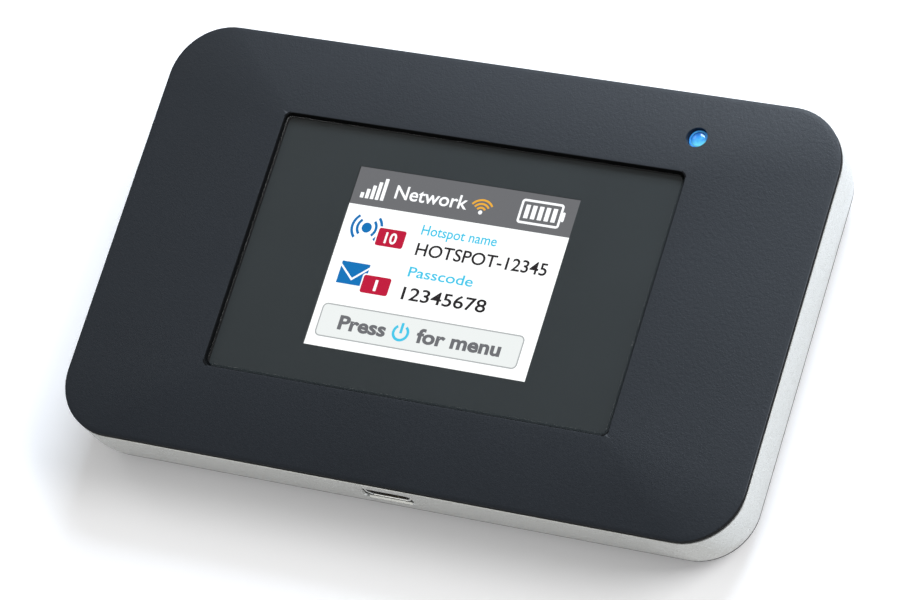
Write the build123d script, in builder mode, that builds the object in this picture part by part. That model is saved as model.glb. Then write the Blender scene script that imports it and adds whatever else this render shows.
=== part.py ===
from build123d import *
import math
import os

# Pocket-sized mobile hotspot: a graphite front cover and a dark lift-off back cover either side of
# a silver band. The origin is at the centre of the flat back, +Z towards the display, +Y towards
# the top edge (power button) and -Y towards the bottom edge (USB socket). Millimetres.

os.makedirs("parts", exist_ok=True)

# ---- Driving dimensions ---------------------------------------------------------------------

WIDTH = 108.0
HEIGHT = 66.8
CORNER_R = 9.0

# Outer surface: the side is upright above TUCK_Z and curls under below it.
SEAM_Z = 3.6
TUCK_Z = 7.65
TUCK_R = 15.0
FACE_DROP = 1.38
FACE_BULGE = 0.18
RIM_HEIGHT = 0.9
RIM_CHAMFER = 0.25

# Display window and screen
WINDOW_W = 64.4
WINDOW_H = 40.9
WINDOW_R = 1.2
WINDOW_LAND = 0.3
SCREEN_W = 35.5
SCREEN_H = 28.6
SCREEN_X = -0.5

# Walls
BACK_WALL = 1.2
BAND_WALL = 1.5
FACE_WALL = 1.3
FLOOR_T = 0.7
BAY_WALL = 0.9
LIP_WALL = 1.0
SKIRT_WALL = 0.9
SHELF_T = 0.8
SHELF_W = 1.4

# Clearances
SLIP = 0.1
RUN = 0.3
SEAM_GAP = 0.1
LENS_GAP = 0.3
BATTERY_GAP = 0.4

# Battery
BATTERY_L = 60.0
BATTERY_W = 50.0
BATTERY_T = 5.2
BAY_INSET = 3.7

# Board and what stands on it
BOARD_INSET = 3.3
BOARD_T = 0.8
STANDOFF_H = 0.9
SHIELD_W = 18.0
SHIELD_D = 20.0
SHIELD_H = 1.6
SHIELD_SKIN = 0.2
SHIELD_EDGE = 19.0
CHIP_H = 1.0

# Display module
MODULE_W = 46.7
MODULE_H = 34.7
BACKLIGHT_T = 1.3
GLASS_T = 1.1
POLARISER_T = 0.15
MODULE_RISE = 1.0
MODULE_GAP = 0.2
LENS_T = 1.0
MASK_T = 0.1
TAPE_T = 0.1
LENS_SINK = 0.15
FRAME_WALL = 1.4
GASKET_T = 0.15

# Screws, M1.6 with a pan head
SCREW_R = 0.75
SCREW_HOLE_R = 0.8
SCREW_L = 4.5
SCREW_HEAD_R = 1.4
SCREW_HEAD_H = 0.8
SCREW_INSET = 5.0
SCREW_END = 10.0
SCREW_MID = 15.0
BOSS_R = 1.8

# Power button in the top edge
BUTTON_W = 12.0
BUTTON_H = 3.0
BUTTON_RISE = 0.5
BUTTON_TRAVEL = 0.35
BUTTON_FLANGE = 0.7
BUTTON_FLANGE_T = 0.6
EDGE_GAP = 8.0

# USB micro-B socket in the bottom edge
USB_CUT_W = 8.4
USB_CUT_H = 3.4
USB_CUT_R = 0.9
USB_SHELL_W = 7.5
USB_SHELL_H = 2.6
USB_SHELL_D = 5.0
USB_SKIN = 0.25
USB_RISE = 0.2
USB_SINK = 0.3

# SIM socket and card, under the board
SIM_W = 15.0
SIM_L = 25.0
SIM_T = 0.76
SIM_TRAVEL = 14.0
SIM_EDGE = 21.0
SIM_TOP_INSET = 7.0
SIM_SOCKET_L = 15.2
SIM_PLAY = 0.15
SIM_SKIN = 0.2

# Status light
LED_EDGE = 22.0
LED_TOP_INSET = 7.1
LED_HOLE_R = 1.55
LED_SINK = 0.3

# ---- Levels and places that follow ------------------------------------------------------------

BATTERY_Z = BACK_WALL + BATTERY_GAP
FLOOR_Z = BATTERY_Z + BATTERY_T + 2 * SLIP
FLOOR_TOP = FLOOR_Z + FLOOR_T
BOARD_Z = FLOOR_TOP + STANDOFF_H
BOARD_TOP = BOARD_Z + BOARD_T
MODULE_Z = BOARD_TOP + MODULE_RISE
MODULE_TOP = MODULE_Z + BACKLIGHT_T + GLASS_T + POLARISER_T
TAPE_Z = MODULE_TOP + MODULE_GAP
MASK_Z = TAPE_Z + TAPE_T
LENS_Z = MASK_Z + MASK_T
THICKNESS = LENS_Z + LENS_T + LENS_SINK
CREASE_Z = THICKNESS - FACE_DROP
BAND_TOP_Z = CREASE_Z - RIM_HEIGHT
SHELF_TOP = FLOOR_TOP + SHELF_T
LEDGE_T = 0.8
LEDGE_Z = TAPE_Z - LEDGE_T
LEDGE_MARGIN = 2.0

TUCK_ANGLE = math.degrees(math.asin((TUCK_Z - SEAM_Z) / TUCK_R))
BACK_R = SEAM_Z / (1 - (TUCK_Z - SEAM_Z) / TUCK_R)
BACK_U = CORNER_R - TUCK_R + (TUCK_R - BACK_R) * math.cos(math.radians(TUCK_ANGLE))

LIP_INSET = BAND_WALL + RUN
LIP_RISE = 1.6
LIP_ROOT_Z = 2.2
LIP_TOP_Z = SEAM_Z + LIP_RISE
SKIRT_INSET = BAND_WALL + SLIP

BATTERY_X = -WIDTH / 2 + BAY_INSET + BAY_WALL + BATTERY_GAP + BATTERY_L / 2
BATTERY_END = BATTERY_X + BATTERY_L / 2
BAY_FLOOR_GAP = 1.0
BAY_WALL_Z = BACK_WALL + BAY_FLOOR_GAP

SCREW_Y = HEIGHT / 2 - SCREW_INSET
SCREW_SPOTS = [(x, y) for x in (-WIDTH / 2 + SCREW_END, -SCREW_MID, SCREW_MID, WIDTH / 2 - SCREW_END)
               for y in (-SCREW_Y, SCREW_Y)]
SCREW_SEAT_Z = FLOOR_Z + SCREW_HEAD_H + SLIP / 2
BOSS_HOLE_TOP = SCREW_SEAT_Z + SCREW_L + SLIP

BUTTON_Z = BOARD_TOP + BUTTON_RISE
SWITCH_H = 1.65
USB_Z = BOARD_Z + USB_RISE
USB_Y = -HEIGHT / 2 + USB_SINK
SIM_X = WIDTH / 2 - SIM_EDGE
SIM_END_Y = HEIGHT / 2 - SIM_TOP_INSET
SIM_BASE_T = 0.3
SIM_CARD_Z = BOARD_Z - SIM_BASE_T - SLIP - SIM_T
SIM_CAGE_Z = SIM_CARD_Z - SIM_PLAY - SIM_SKIN
LED_X = WIDTH / 2 - LED_EDGE
LED_Y = HEIGHT / 2 - LED_TOP_INSET
RESET_INSET = 11.4
RESET_Y = -HEIGHT / 2 + RESET_INSET
RESET_TRAVEL = 0.25


def outline(inset):
    """Width, height and corner radius of the body's outline pulled in by inset."""
    return WIDTH - 2 * inset, HEIGHT - 2 * inset, CORNER_R - inset


def edge_section(inset):
    """Upright section of the body's edge, from a corner's centre outwards, pulled in by inset."""
    side_u = CORNER_R - inset
    with BuildSketch() as section:
        with BuildLine():
            Line((0, inset), (BACK_U, inset))
            CenterArc((BACK_U, BACK_R), BACK_R - inset, -90, 90 - TUCK_ANGLE)
            CenterArc((CORNER_R - TUCK_R, TUCK_Z), TUCK_R - inset, -TUCK_ANGLE, TUCK_ANGLE)
            Line((side_u, TUCK_Z), (side_u, BAND_TOP_Z))
            Line((side_u, BAND_TOP_Z), (0, BAND_TOP_Z))
            Line((0, BAND_TOP_Z), (0, inset))
        make_face()
    return section.sketch


def body_form(inset):
    """Solid inside the body's outer surface below the front cover, pulled in by inset."""
    corner = (WIDTH / 2 - CORNER_R, HEIGHT / 2 - CORNER_R, 0)
    profile = edge_section(inset)
    with BuildPart() as form:
        with BuildSketch(Plane(origin=corner, x_dir=(1, 0, 0), z_dir=(0, -1, 0))) as end_section:
            add(profile)
        revolve(axis=Axis(corner, (0, 0, 1)), revolution_arc=90)
        extrude(end_section.sketch, amount=corner[1])
        with BuildSketch(Plane(origin=corner, x_dir=(0, 1, 0), z_dir=(1, 0, 0))):
            add(profile)
        extrude(amount=-corner[0])
        with BuildSketch(Plane.XY.offset(inset)):
            Rectangle(corner[0], corner[1], align=(Align.MIN, Align.MIN))
        extrude(amount=BAND_TOP_Z - inset)
        mirror(about=Plane.YZ)
        mirror(about=Plane.XZ)
    return form.part


def finish_piece(name, label):
    """Label a finished piece and write its STEP file."""
    name.part.label = label
    export_step(name.part, "parts/" + label + ".step")


# ---- Housing ----------------------------------------------------------------------------------

# Back cover: a shallow tray with a lip that stands inside the band, and a nail notch on the left.
NOTCH_Y = -18.0
NOTCH_R = 6.0
NOTCH_DEPTH = 1.0
NOTCH_CUT = 0.9
with BuildPart() as back_cover:
    add(body_form(0))
    split(bisect_by=Plane.XY.offset(SEAM_Z - SEAM_GAP), keep=Keep.BOTTOM)
    add(body_form(BACK_WALL), mode=Mode.SUBTRACT)
    with BuildSketch(Plane.XY.offset(LIP_ROOT_Z)):
        RectangleRounded(*outline(LIP_INSET))
        RectangleRounded(*outline(LIP_INSET + LIP_WALL), mode=Mode.SUBTRACT)
    extrude(amount=LIP_TOP_Z - LIP_ROOT_Z)
    with Locations((-WIDTH / 2, NOTCH_Y, SEAM_Z - SEAM_GAP - NOTCH_DEPTH + NOTCH_R)):
        Cylinder(NOTCH_R, 2 * (NOTCH_CUT + RIM_CHAMFER), rotation=(0, 90, 0), mode=Mode.SUBTRACT)
finish_piece(back_cover, "back_cover")

# Foam pad on the back cover, against the battery
PAD_MARGIN = 12.0
PAD_R = 2.0
PAD_T = BATTERY_GAP - 1.5 * SLIP
with BuildPart() as battery_pad:
    with BuildSketch(Plane.XY.offset(BACK_WALL)):
        with Locations((BATTERY_X, 0)):
            RectangleRounded(BATTERY_L - 2 * PAD_MARGIN, BATTERY_W - 2 * PAD_MARGIN, PAD_R)
    extrude(amount=PAD_T)
finish_piece(battery_pad, "battery_pad")

# Silver band with a shelf that the chassis and the front cover's skirt clamp
with BuildPart() as side_band:
    add(body_form(0))
    split(bisect_by=Plane.XY.offset(SEAM_Z), keep=Keep.TOP)
    with BuildSketch(Plane.XY.offset(SEAM_Z)):
        RectangleRounded(*outline(BAND_WALL))
    extrude(amount=BAND_TOP_Z - SEAM_Z, mode=Mode.SUBTRACT)
    chamfer(side_band.faces().sort_by(Axis.Z)[-1].outer_wire().edges(), RIM_CHAMFER)
    with BuildSketch(Plane.XY.offset(FLOOR_TOP)):
        RectangleRounded(*outline(BAND_WALL - SLIP))
        RectangleRounded(*outline(BAND_WALL + SHELF_W), mode=Mode.SUBTRACT)
        Rectangle(2 * EDGE_GAP, HEIGHT, mode=Mode.SUBTRACT)
    extrude(amount=SHELF_T)
    with BuildSketch(Plane.XZ.offset(HEIGHT / 2)):
        with Locations((0, USB_Z)):
            RectangleRounded(USB_CUT_W, USB_CUT_H, USB_CUT_R)
    extrude(amount=-2 * BAND_WALL, mode=Mode.SUBTRACT)
    with BuildSketch(Plane.XZ.offset(-HEIGHT / 2)):
        with Locations((0, BUTTON_Z)):
            SlotOverall(BUTTON_W + 2 * SLIP, BUTTON_H + 2 * SLIP)
    extrude(amount=2 * BAND_WALL, mode=Mode.SUBTRACT)
finish_piece(side_band, "side_band")

# Front cover: a hipped face that rises from its sharp edge to the window
HALFWAY_Z = (CREASE_Z + THICKNESS) / 2 + FACE_BULGE
TOP_W = WINDOW_W + 2 * WINDOW_LAND
TOP_H = WINDOW_H + 2 * WINDOW_LAND
TOP_R = WINDOW_R + WINDOW_LAND
FRAME_W = WINDOW_W + 2 * LEDGE_MARGIN
FRAME_H = WINDOW_H + 2 * LEDGE_MARGIN
OPENING_MARGIN = 0.65
OPENING_W = MODULE_W + 2 * OPENING_MARGIN
OPENING_H = MODULE_H + 2 * OPENING_MARGIN
ROOF_Z = THICKNESS - FACE_WALL
SKIRT_ROOT = 0.6
LED_BOSS_Z = BAND_TOP_Z + 2 * SLIP
with BuildPart() as front_cover:
    with BuildSketch(Plane.XY.offset(CREASE_Z)):
        RectangleRounded(WIDTH, HEIGHT, CORNER_R)
    with BuildSketch(Plane.XY.offset(HALFWAY_Z)):
        RectangleRounded((WIDTH + TOP_W) / 2, (HEIGHT + TOP_H) / 2, (CORNER_R + TOP_R) / 2)
    with BuildSketch(Plane.XY.offset(THICKNESS)):
        RectangleRounded(TOP_W, TOP_H, TOP_R)
    loft()
    with BuildSketch(Plane.XY.offset(BAND_TOP_Z)):
        RectangleRounded(WIDTH, HEIGHT, CORNER_R)
    extrude(amount=RIM_HEIGHT)
    with BuildSketch(Plane.XY.offset(BAND_TOP_Z)):
        RectangleRounded(*outline(SKIRT_INSET))
    with BuildSketch(Plane.XY.offset(ROOF_Z)):
        RectangleRounded(FRAME_W, FRAME_H, WINDOW_R + LEDGE_MARGIN)
    loft(mode=Mode.SUBTRACT)
    with BuildSketch(Plane.XY.offset(LEDGE_Z)):
        RectangleRounded(FRAME_W, FRAME_H, WINDOW_R + LEDGE_MARGIN)
    extrude(amount=ROOF_Z - LEDGE_Z + SLIP)
    with BuildSketch(Plane.XY.offset(TAPE_Z)):
        RectangleRounded(WINDOW_W, WINDOW_H, WINDOW_R)
    extrude(amount=THICKNESS - TAPE_Z, mode=Mode.SUBTRACT)
    with BuildSketch(Plane.XY.offset(LEDGE_Z)):
        with Locations((SCREEN_X, 0)):
            Rectangle(OPENING_W, OPENING_H)
    extrude(amount=LEDGE_T, mode=Mode.SUBTRACT)
    with BuildSketch(Plane.XY.offset(SHELF_TOP)):
        RectangleRounded(*outline(SKIRT_INSET))
        RectangleRounded(*outline(SKIRT_INSET + SKIRT_WALL), mode=Mode.SUBTRACT)
        Rectangle(2 * EDGE_GAP, HEIGHT, mode=Mode.SUBTRACT)
    extrude(amount=BAND_TOP_Z + SKIRT_ROOT - SHELF_TOP)
    with BuildSketch(Plane.XY.offset(BOARD_TOP)):
        with Locations(*SCREW_SPOTS):
            Circle(BOSS_R)
    extrude(amount=CREASE_Z - BOARD_TOP)
    with BuildSketch(Plane.XY.offset(BOARD_TOP)):
        with Locations(*SCREW_SPOTS):
            Circle(SCREW_HOLE_R)
    extrude(amount=BOSS_HOLE_TOP - BOARD_TOP, mode=Mode.SUBTRACT)
    with BuildSketch(Plane.XY.offset(LED_BOSS_Z)):
        with Locations((LED_X, LED_Y)):
            Circle(LED_HOLE_R + BAY_WALL)
    extrude(amount=CREASE_Z - LED_BOSS_Z)
    with Locations((LED_X, LED_Y, THICKNESS)):
        Hole(LED_HOLE_R, depth=THICKNESS - BAND_TOP_Z)
finish_piece(front_cover, "front_cover")

# Rear chassis: the floor between the board and the battery, with the bay's wall under it
CONNECTOR_W = 10.0
CONNECTOR_D = 3.0
CONNECTOR_X = BATTERY_END + BATTERY_GAP + BAY_WALL + CONNECTOR_D / 2
SIM_CUT_W = SIM_W + 2 * (SIM_SKIN + SIM_PLAY) + 2 * RUN
SIM_CUT_L = SIM_L + SIM_TRAVEL + 4 * RUN
RESET_HOLE_R = 1.3
USB_CLEAR = 0.4
with BuildPart() as rear_chassis:
    with BuildSketch(Plane.XY.offset(FLOOR_Z)):
        RectangleRounded(*outline(SKIRT_INSET))
    extrude(amount=FLOOR_T)
    with BuildSketch(Plane.XY.offset(FLOOR_TOP)):
        with Locations(*SCREW_SPOTS):
            Circle(BOSS_R)
    extrude(amount=STANDOFF_H)
    with BuildSketch(Plane.XY.offset(BAY_WALL_Z)):
        with Locations((BATTERY_X, 0)):
            RectangleRounded(BATTERY_L + 2 * (BATTERY_GAP + BAY_WALL),
                             BATTERY_W + 2 * (BATTERY_GAP + BAY_WALL), 2 * BAY_WALL)
            RectangleRounded(BATTERY_L + 2 * BATTERY_GAP, BATTERY_W + 2 * BATTERY_GAP, BAY_WALL,
                             mode=Mode.SUBTRACT)
    extrude(amount=FLOOR_Z - BAY_WALL_Z)
    with BuildSketch(Plane.XY.offset(BAY_WALL_Z)):
        with Locations((CONNECTOR_X - BAY_WALL / 2, 0)):
            Rectangle(CONNECTOR_D + BAY_WALL + 2 * SLIP, CONNECTOR_W + 2 * RUN)
    extrude(amount=FLOOR_TOP - BAY_WALL_Z, mode=Mode.SUBTRACT)
    with BuildSketch(Plane.XY.offset(FLOOR_Z)):
        with Locations((SIM_X, SIM_END_Y + RUN)):
            Rectangle(SIM_CUT_W, SIM_CUT_L, align=(Align.CENTER, Align.MAX))
        with Locations((SIM_X, RESET_Y)):
            Circle(RESET_HOLE_R)
        with Locations((0, -HEIGHT / 2)):
            Rectangle(USB_SHELL_W + 2 * USB_CLEAR, 2 * (USB_SINK + USB_SHELL_D + USB_CLEAR))
    extrude(amount=FLOOR_T, mode=Mode.SUBTRACT)
    with Locations(Plane(origin=(0, 0, FLOOR_Z), x_dir=(1, 0, 0), z_dir=(0, 0, -1))):
        with Locations(*SCREW_SPOTS):
            CounterBoreHole(SCREW_HOLE_R, SCREW_HEAD_R + SLIP, SCREW_SEAT_Z - FLOOR_Z,
                            depth=FLOOR_T + STANDOFF_H)
finish_piece(rear_chassis, "rear_chassis")

# Blank paper label in the battery bay
BAY_LABEL_MARGIN = 9.0
LABEL_R = 1.0
with BuildPart() as bay_label:
    with BuildSketch(Plane.XY.offset(FLOOR_Z - SLIP)):
        with Locations((BATTERY_X, 0)):
            RectangleRounded(BATTERY_L - 2 * BAY_LABEL_MARGIN, BATTERY_W - 2 * BAY_LABEL_MARGIN, LABEL_R)
    extrude(amount=SLIP)
finish_piece(bay_label, "bay_label")

# Eight identical screws through the chassis and the board into the front cover's bosses
DRIVE_R = 0.6
DRIVE_DEPTH = 0.4
with BuildPart() as case_screws:
    with BuildSketch(Plane.XY.offset(SCREW_SEAT_Z - SCREW_HEAD_H)):
        with Locations(*SCREW_SPOTS):
            Circle(SCREW_HEAD_R)
    extrude(amount=SCREW_HEAD_H)
    with BuildSketch(Plane.XY.offset(SCREW_SEAT_Z)):
        with Locations(*SCREW_SPOTS):
            Circle(SCREW_R)
    extrude(amount=SCREW_L)
    with BuildSketch(Plane.XY.offset(SCREW_SEAT_Z - SCREW_HEAD_H)):
        with Locations(*SCREW_SPOTS):
            RegularPolygon(DRIVE_R, 6)
    extrude(amount=DRIVE_DEPTH, mode=Mode.SUBTRACT)
finish_piece(case_screws, "case_screws")

# ---- Display window -----------------------------------------------------------------------------

LENS_W = WINDOW_W - 2 * LENS_GAP
LENS_H = WINDOW_H - 2 * LENS_GAP
LENS_R = WINDOW_R - LENS_GAP
LENS_CHAMFER = 0.15
TAPE_W = 1.8
with BuildPart() as display_lens:
    with BuildSketch(Plane.XY.offset(LENS_Z)):
        RectangleRounded(LENS_W, LENS_H, LENS_R)
    extrude(amount=LENS_T)
    chamfer(display_lens.edges().group_by(Axis.Z)[-1], LENS_CHAMFER)
finish_piece(display_lens, "display_lens")

with BuildPart() as lens_mask:
    with BuildSketch(Plane.XY.offset(MASK_Z)):
        RectangleRounded(LENS_W, LENS_H, LENS_R)
        with Locations((SCREEN_X, 0)):
            Rectangle(SCREEN_W, SCREEN_H, mode=Mode.SUBTRACT)
    extrude(amount=MASK_T)
finish_piece(lens_mask, "lens_mask")

with BuildPart() as lens_adhesive:
    with BuildSketch(Plane.XY.offset(TAPE_Z)):
        RectangleRounded(LENS_W, LENS_H, LENS_R)
        Rectangle(LENS_W - 2 * TAPE_W, LENS_H - 2 * TAPE_W, mode=Mode.SUBTRACT)
    extrude(amount=TAPE_T)
finish_piece(lens_adhesive, "lens_adhesive")

# ---- Display module -----------------------------------------------------------------------------

LIGHT_MARGIN = 2.0
LIGHT_T = 0.6
LIGHT_GAP = 0.1
GLASS_MARGIN = 0.6
POLARISER_MARGIN = 1.8
with BuildPart() as lcd_backlight_frame:
    with BuildSketch(Plane.XY.offset(MODULE_Z)):
        with Locations((SCREEN_X, 0)):
            Rectangle(MODULE_W, MODULE_H)
    extrude(amount=BACKLIGHT_T)
    with BuildSketch(Plane.XY.offset(MODULE_Z + BACKLIGHT_T - LIGHT_T)):
        with Locations((SCREEN_X, 0)):
            Rectangle(MODULE_W - 2 * LIGHT_MARGIN, MODULE_H - 2 * LIGHT_MARGIN)
    extrude(amount=LIGHT_T, mode=Mode.SUBTRACT)
finish_piece(lcd_backlight_frame, "lcd_backlight_frame")

with BuildPart() as lcd_light_guide:
    with BuildSketch(Plane.XY.offset(MODULE_Z + BACKLIGHT_T - LIGHT_T)):
        with Locations((SCREEN_X, 0)):
            Rectangle(MODULE_W - 2 * (LIGHT_MARGIN + LIGHT_GAP), MODULE_H - 2 * (LIGHT_MARGIN + LIGHT_GAP))
    extrude(amount=LIGHT_T)
finish_piece(lcd_light_guide, "lcd_light_guide")

with BuildPart() as lcd_glass:
    with BuildSketch(Plane.XY.offset(MODULE_Z + BACKLIGHT_T)):
        with Locations((SCREEN_X, 0)):
            Rectangle(MODULE_W - 2 * GLASS_MARGIN, MODULE_H - 2 * GLASS_MARGIN)
    extrude(amount=GLASS_T)
finish_piece(lcd_glass, "lcd_glass")

with BuildPart() as lcd_polariser:
    with BuildSketch(Plane.XY.offset(MODULE_TOP - POLARISER_T)):
        with Locations((SCREEN_X, 0)):
            Rectangle(MODULE_W - 2 * POLARISER_MARGIN, MODULE_H - 2 * POLARISER_MARGIN)
    extrude(amount=POLARISER_T)
finish_piece(lcd_polariser, "lcd_polariser")

# Frame that holds the module over the board, open at the bottom for the flex
FLEX_W = 12.0
FLEX_T = 0.12
FLEX_OUT = 0.9
FLEX_BACK_Y = 9.0
GASKET_Z = LEDGE_Z - GASKET_T
with BuildPart() as display_frame:
    with BuildSketch(Plane.XY.offset(BOARD_TOP)):
        with Locations((SCREEN_X, 0)):
            Rectangle(MODULE_W + 2 * (MODULE_GAP + FRAME_WALL), MODULE_H + 2 * (MODULE_GAP + FRAME_WALL))
            Rectangle(MODULE_W + 2 * MODULE_GAP, MODULE_H + 2 * MODULE_GAP, mode=Mode.SUBTRACT)
        with Locations((SCREEN_X, -MODULE_H / 2)):
            Rectangle(FLEX_W + 2 * RUN, 2 * (MODULE_GAP + FRAME_WALL), mode=Mode.SUBTRACT)
    extrude(amount=GASKET_Z - BOARD_TOP)
finish_piece(display_frame, "display_frame")

with BuildPart() as display_gasket:
    with BuildSketch(Plane.XY.offset(GASKET_Z)):
        with Locations((SCREEN_X, 0)):
            Rectangle(OPENING_W + FRAME_WALL, OPENING_H + FRAME_WALL)
            Rectangle(OPENING_W, OPENING_H, mode=Mode.SUBTRACT)
    extrude(amount=GASKET_T)
finish_piece(display_gasket, "display_gasket")

# Flex: out of the module's lower edge, down, and back under it to its connector
FLEX_Z = MODULE_Z + BACKLIGHT_T / 2
FLEX_RISE = 0.45
FLEX_LOW_Z = BOARD_TOP + FLEX_RISE
FLEX_Y = -MODULE_H / 2
with BuildPart() as lcd_flex:
    with BuildSketch(Plane.YZ.offset(SCREEN_X - FLEX_W / 2)):
        with BuildLine():
            Polyline((FLEX_Y, FLEX_Z), (FLEX_Y - FLEX_OUT, FLEX_Z), (FLEX_Y - FLEX_OUT, FLEX_LOW_Z),
                     (FLEX_Y + FLEX_BACK_Y, FLEX_LOW_Z), (FLEX_Y + FLEX_BACK_Y, FLEX_LOW_Z + FLEX_T),
                     (FLEX_Y - FLEX_OUT + FLEX_T, FLEX_LOW_Z + FLEX_T),
                     (FLEX_Y - FLEX_OUT + FLEX_T, FLEX_Z - FLEX_T), (FLEX_Y, FLEX_Z - FLEX_T), close=True)
        make_face()
    extrude(amount=FLEX_W)
finish_piece(lcd_flex, "lcd_flex")

FLEX_SOCKET_D = 3.0
with BuildPart() as lcd_connector:
    with BuildSketch(Plane.XY.offset(BOARD_TOP)):
        with Locations((SCREEN_X, FLEX_Y + FLEX_BACK_Y)):
            Rectangle(FLEX_W, FLEX_SOCKET_D, align=(Align.CENTER, Align.MAX))
    extrude(amount=FLEX_LOW_Z - BOARD_TOP)
finish_piece(lcd_connector, "lcd_connector")

# ---- Board --------------------------------------------------------------------------------------

with BuildPart() as main_board:
    with BuildSketch(Plane.XY.offset(BOARD_Z)):
        RectangleRounded(*outline(BOARD_INSET))
        with Locations(*SCREW_SPOTS):
            Circle(SCREW_HOLE_R, mode=Mode.SUBTRACT)
        with Locations((0, -HEIGHT / 2)):
            Rectangle(USB_SHELL_W + 2 * USB_CLEAR, 2 * (USB_SINK + USB_SHELL_D + USB_CLEAR),
                      mode=Mode.SUBTRACT)
    extrude(amount=BOARD_T)
finish_piece(main_board, "main_board")

# Four shield cans, each over a chip: two beyond each end of the display
SHIELD_X = WIDTH / 2 - SHIELD_EDGE
SHIELD_GAP = 2.0
SHIELD_R = 0.6
SHIELD_Y = (SHIELD_D + SHIELD_GAP) / 2
SHIELDS = (("rf", SHIELD_X, -SHIELD_Y), ("baseband", SHIELD_X, SHIELD_Y),
           ("power", -SHIELD_X, -SHIELD_Y), ("wifi", -SHIELD_X, SHIELD_Y))
CHIP_W = 9.0
for family, shield_x, shield_y in SHIELDS:
    with BuildPart() as shield:
        with BuildSketch(Plane.XY.offset(BOARD_TOP)):
            with Locations((shield_x, shield_y)):
                RectangleRounded(SHIELD_W, SHIELD_D, SHIELD_R)
        extrude(amount=SHIELD_H)
        with BuildSketch(Plane.XY.offset(BOARD_TOP)):
            with Locations((shield_x, shield_y)):
                Rectangle(SHIELD_W - 2 * SHIELD_SKIN, SHIELD_D - 2 * SHIELD_SKIN)
        extrude(amount=SHIELD_H - SHIELD_SKIN, mode=Mode.SUBTRACT)
    finish_piece(shield, family + "_shield")
    with BuildPart() as chip:
        with BuildSketch(Plane.XY.offset(BOARD_TOP)):
            with Locations((shield_x, shield_y)):
                Rectangle(CHIP_W, CHIP_W)
        extrude(amount=CHIP_H)
    finish_piece(chip, family + "_chip")

MEMORY_Y = 8.0
MEMORY_W = 11.0
MEMORY_D = 9.0
MEMORY_H = 0.7
with BuildPart() as memory_chip:
    with BuildSketch(Plane.XY.offset(BOARD_TOP)):
        with Locations((SCREEN_X, MEMORY_Y)):
            Rectangle(MEMORY_W, MEMORY_D)
    extrude(amount=MEMORY_H)
finish_piece(memory_chip, "memory_chip")

PASSIVE_L = 1.0
PASSIVE_W = 0.5
PASSIVE_Y = -1.0
PASSIVE_PITCH_X = 4.5
PASSIVE_PITCH_Y = 1.6
with BuildPart() as board_passives:
    with BuildSketch(Plane.XY.offset(BOARD_TOP)):
        with Locations((SCREEN_X, PASSIVE_Y)):
            with GridLocations(PASSIVE_PITCH_X, PASSIVE_PITCH_Y, 8, 3):
                Rectangle(PASSIVE_L, PASSIVE_W)
    extrude(amount=PASSIVE_W)
finish_piece(board_passives, "board_passives")

THERMAL_W = 14.0
with BuildPart() as thermal_pad:
    with BuildSketch(Plane.XY.offset(FLOOR_TOP + SLIP)):
        with Locations((-SHIELD_X, 0)):
            Rectangle(THERMAL_W, THERMAL_W)
    extrude(amount=STANDOFF_H - SLIP)
finish_piece(thermal_pad, "thermal_pad")

with BuildPart() as heat_spreader:
    with BuildSketch(Plane.XY.offset(FLOOR_TOP)):
        with Locations((BATTERY_X, 0)):
            Rectangle(BATTERY_L - 2 * BAY_LABEL_MARGIN, BATTERY_W - 2 * BAY_LABEL_MARGIN)
    extrude(amount=SLIP)
finish_piece(heat_spreader, "heat_spreader")

# ---- Status light ---------------------------------------------------------------------------------

LED_W = 1.6
LED_H = 0.6
PIPE_R = LED_HOLE_R - SLIP
PIPE_FLANGE_R = LED_HOLE_R + BAY_WALL
PIPE_FLANGE_T = 0.5
DOME_H = 0.35
PIPE_Z = BOARD_TOP + LED_H + RUN
PIPE_TOP = THICKNESS - FACE_DROP / 2 - LED_SINK - DOME_H
with BuildPart() as status_led:
    with BuildSketch(Plane.XY.offset(BOARD_TOP)):
        with Locations((LED_X, LED_Y)):
            Rectangle(LED_W, LED_W)
    extrude(amount=LED_H)
finish_piece(status_led, "status_led")

with BuildPart() as led_light_pipe:
    with BuildSketch(Plane(origin=(LED_X, LED_Y, 0), x_dir=(1, 0, 0), z_dir=(0, -1, 0))):
        with BuildLine():
            Line((0, PIPE_Z), (PIPE_R, PIPE_Z))
            Line((PIPE_R, PIPE_Z), (PIPE_R, LED_BOSS_Z - PIPE_FLANGE_T))
            Line((PIPE_R, LED_BOSS_Z - PIPE_FLANGE_T), (PIPE_FLANGE_R, LED_BOSS_Z - PIPE_FLANGE_T))
            Line((PIPE_FLANGE_R, LED_BOSS_Z - PIPE_FLANGE_T), (PIPE_FLANGE_R, LED_BOSS_Z))
            Line((PIPE_FLANGE_R, LED_BOSS_Z), (PIPE_R, LED_BOSS_Z))
            Line((PIPE_R, LED_BOSS_Z), (PIPE_R, PIPE_TOP))
            TangentArc((0, PIPE_TOP + DOME_H), (PIPE_R, PIPE_TOP), tangent=(1, 0))
            Line((0, PIPE_TOP + DOME_H), (0, PIPE_Z))
        make_face()
    revolve(axis=Axis((LED_X, LED_Y, 0), (0, 0, 1)))
finish_piece(led_light_pipe, "led_light_pipe")

# ---- USB socket -------------------------------------------------------------------------------------

USB_NARROW = 0.8
USB_SHOULDER = 0.35
USB_BEND_R = 0.3
USB_BASE_D = 1.2
TONGUE_W = 3.7
TONGUE_T = 0.6
TONGUE_UP = 0.3


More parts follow.
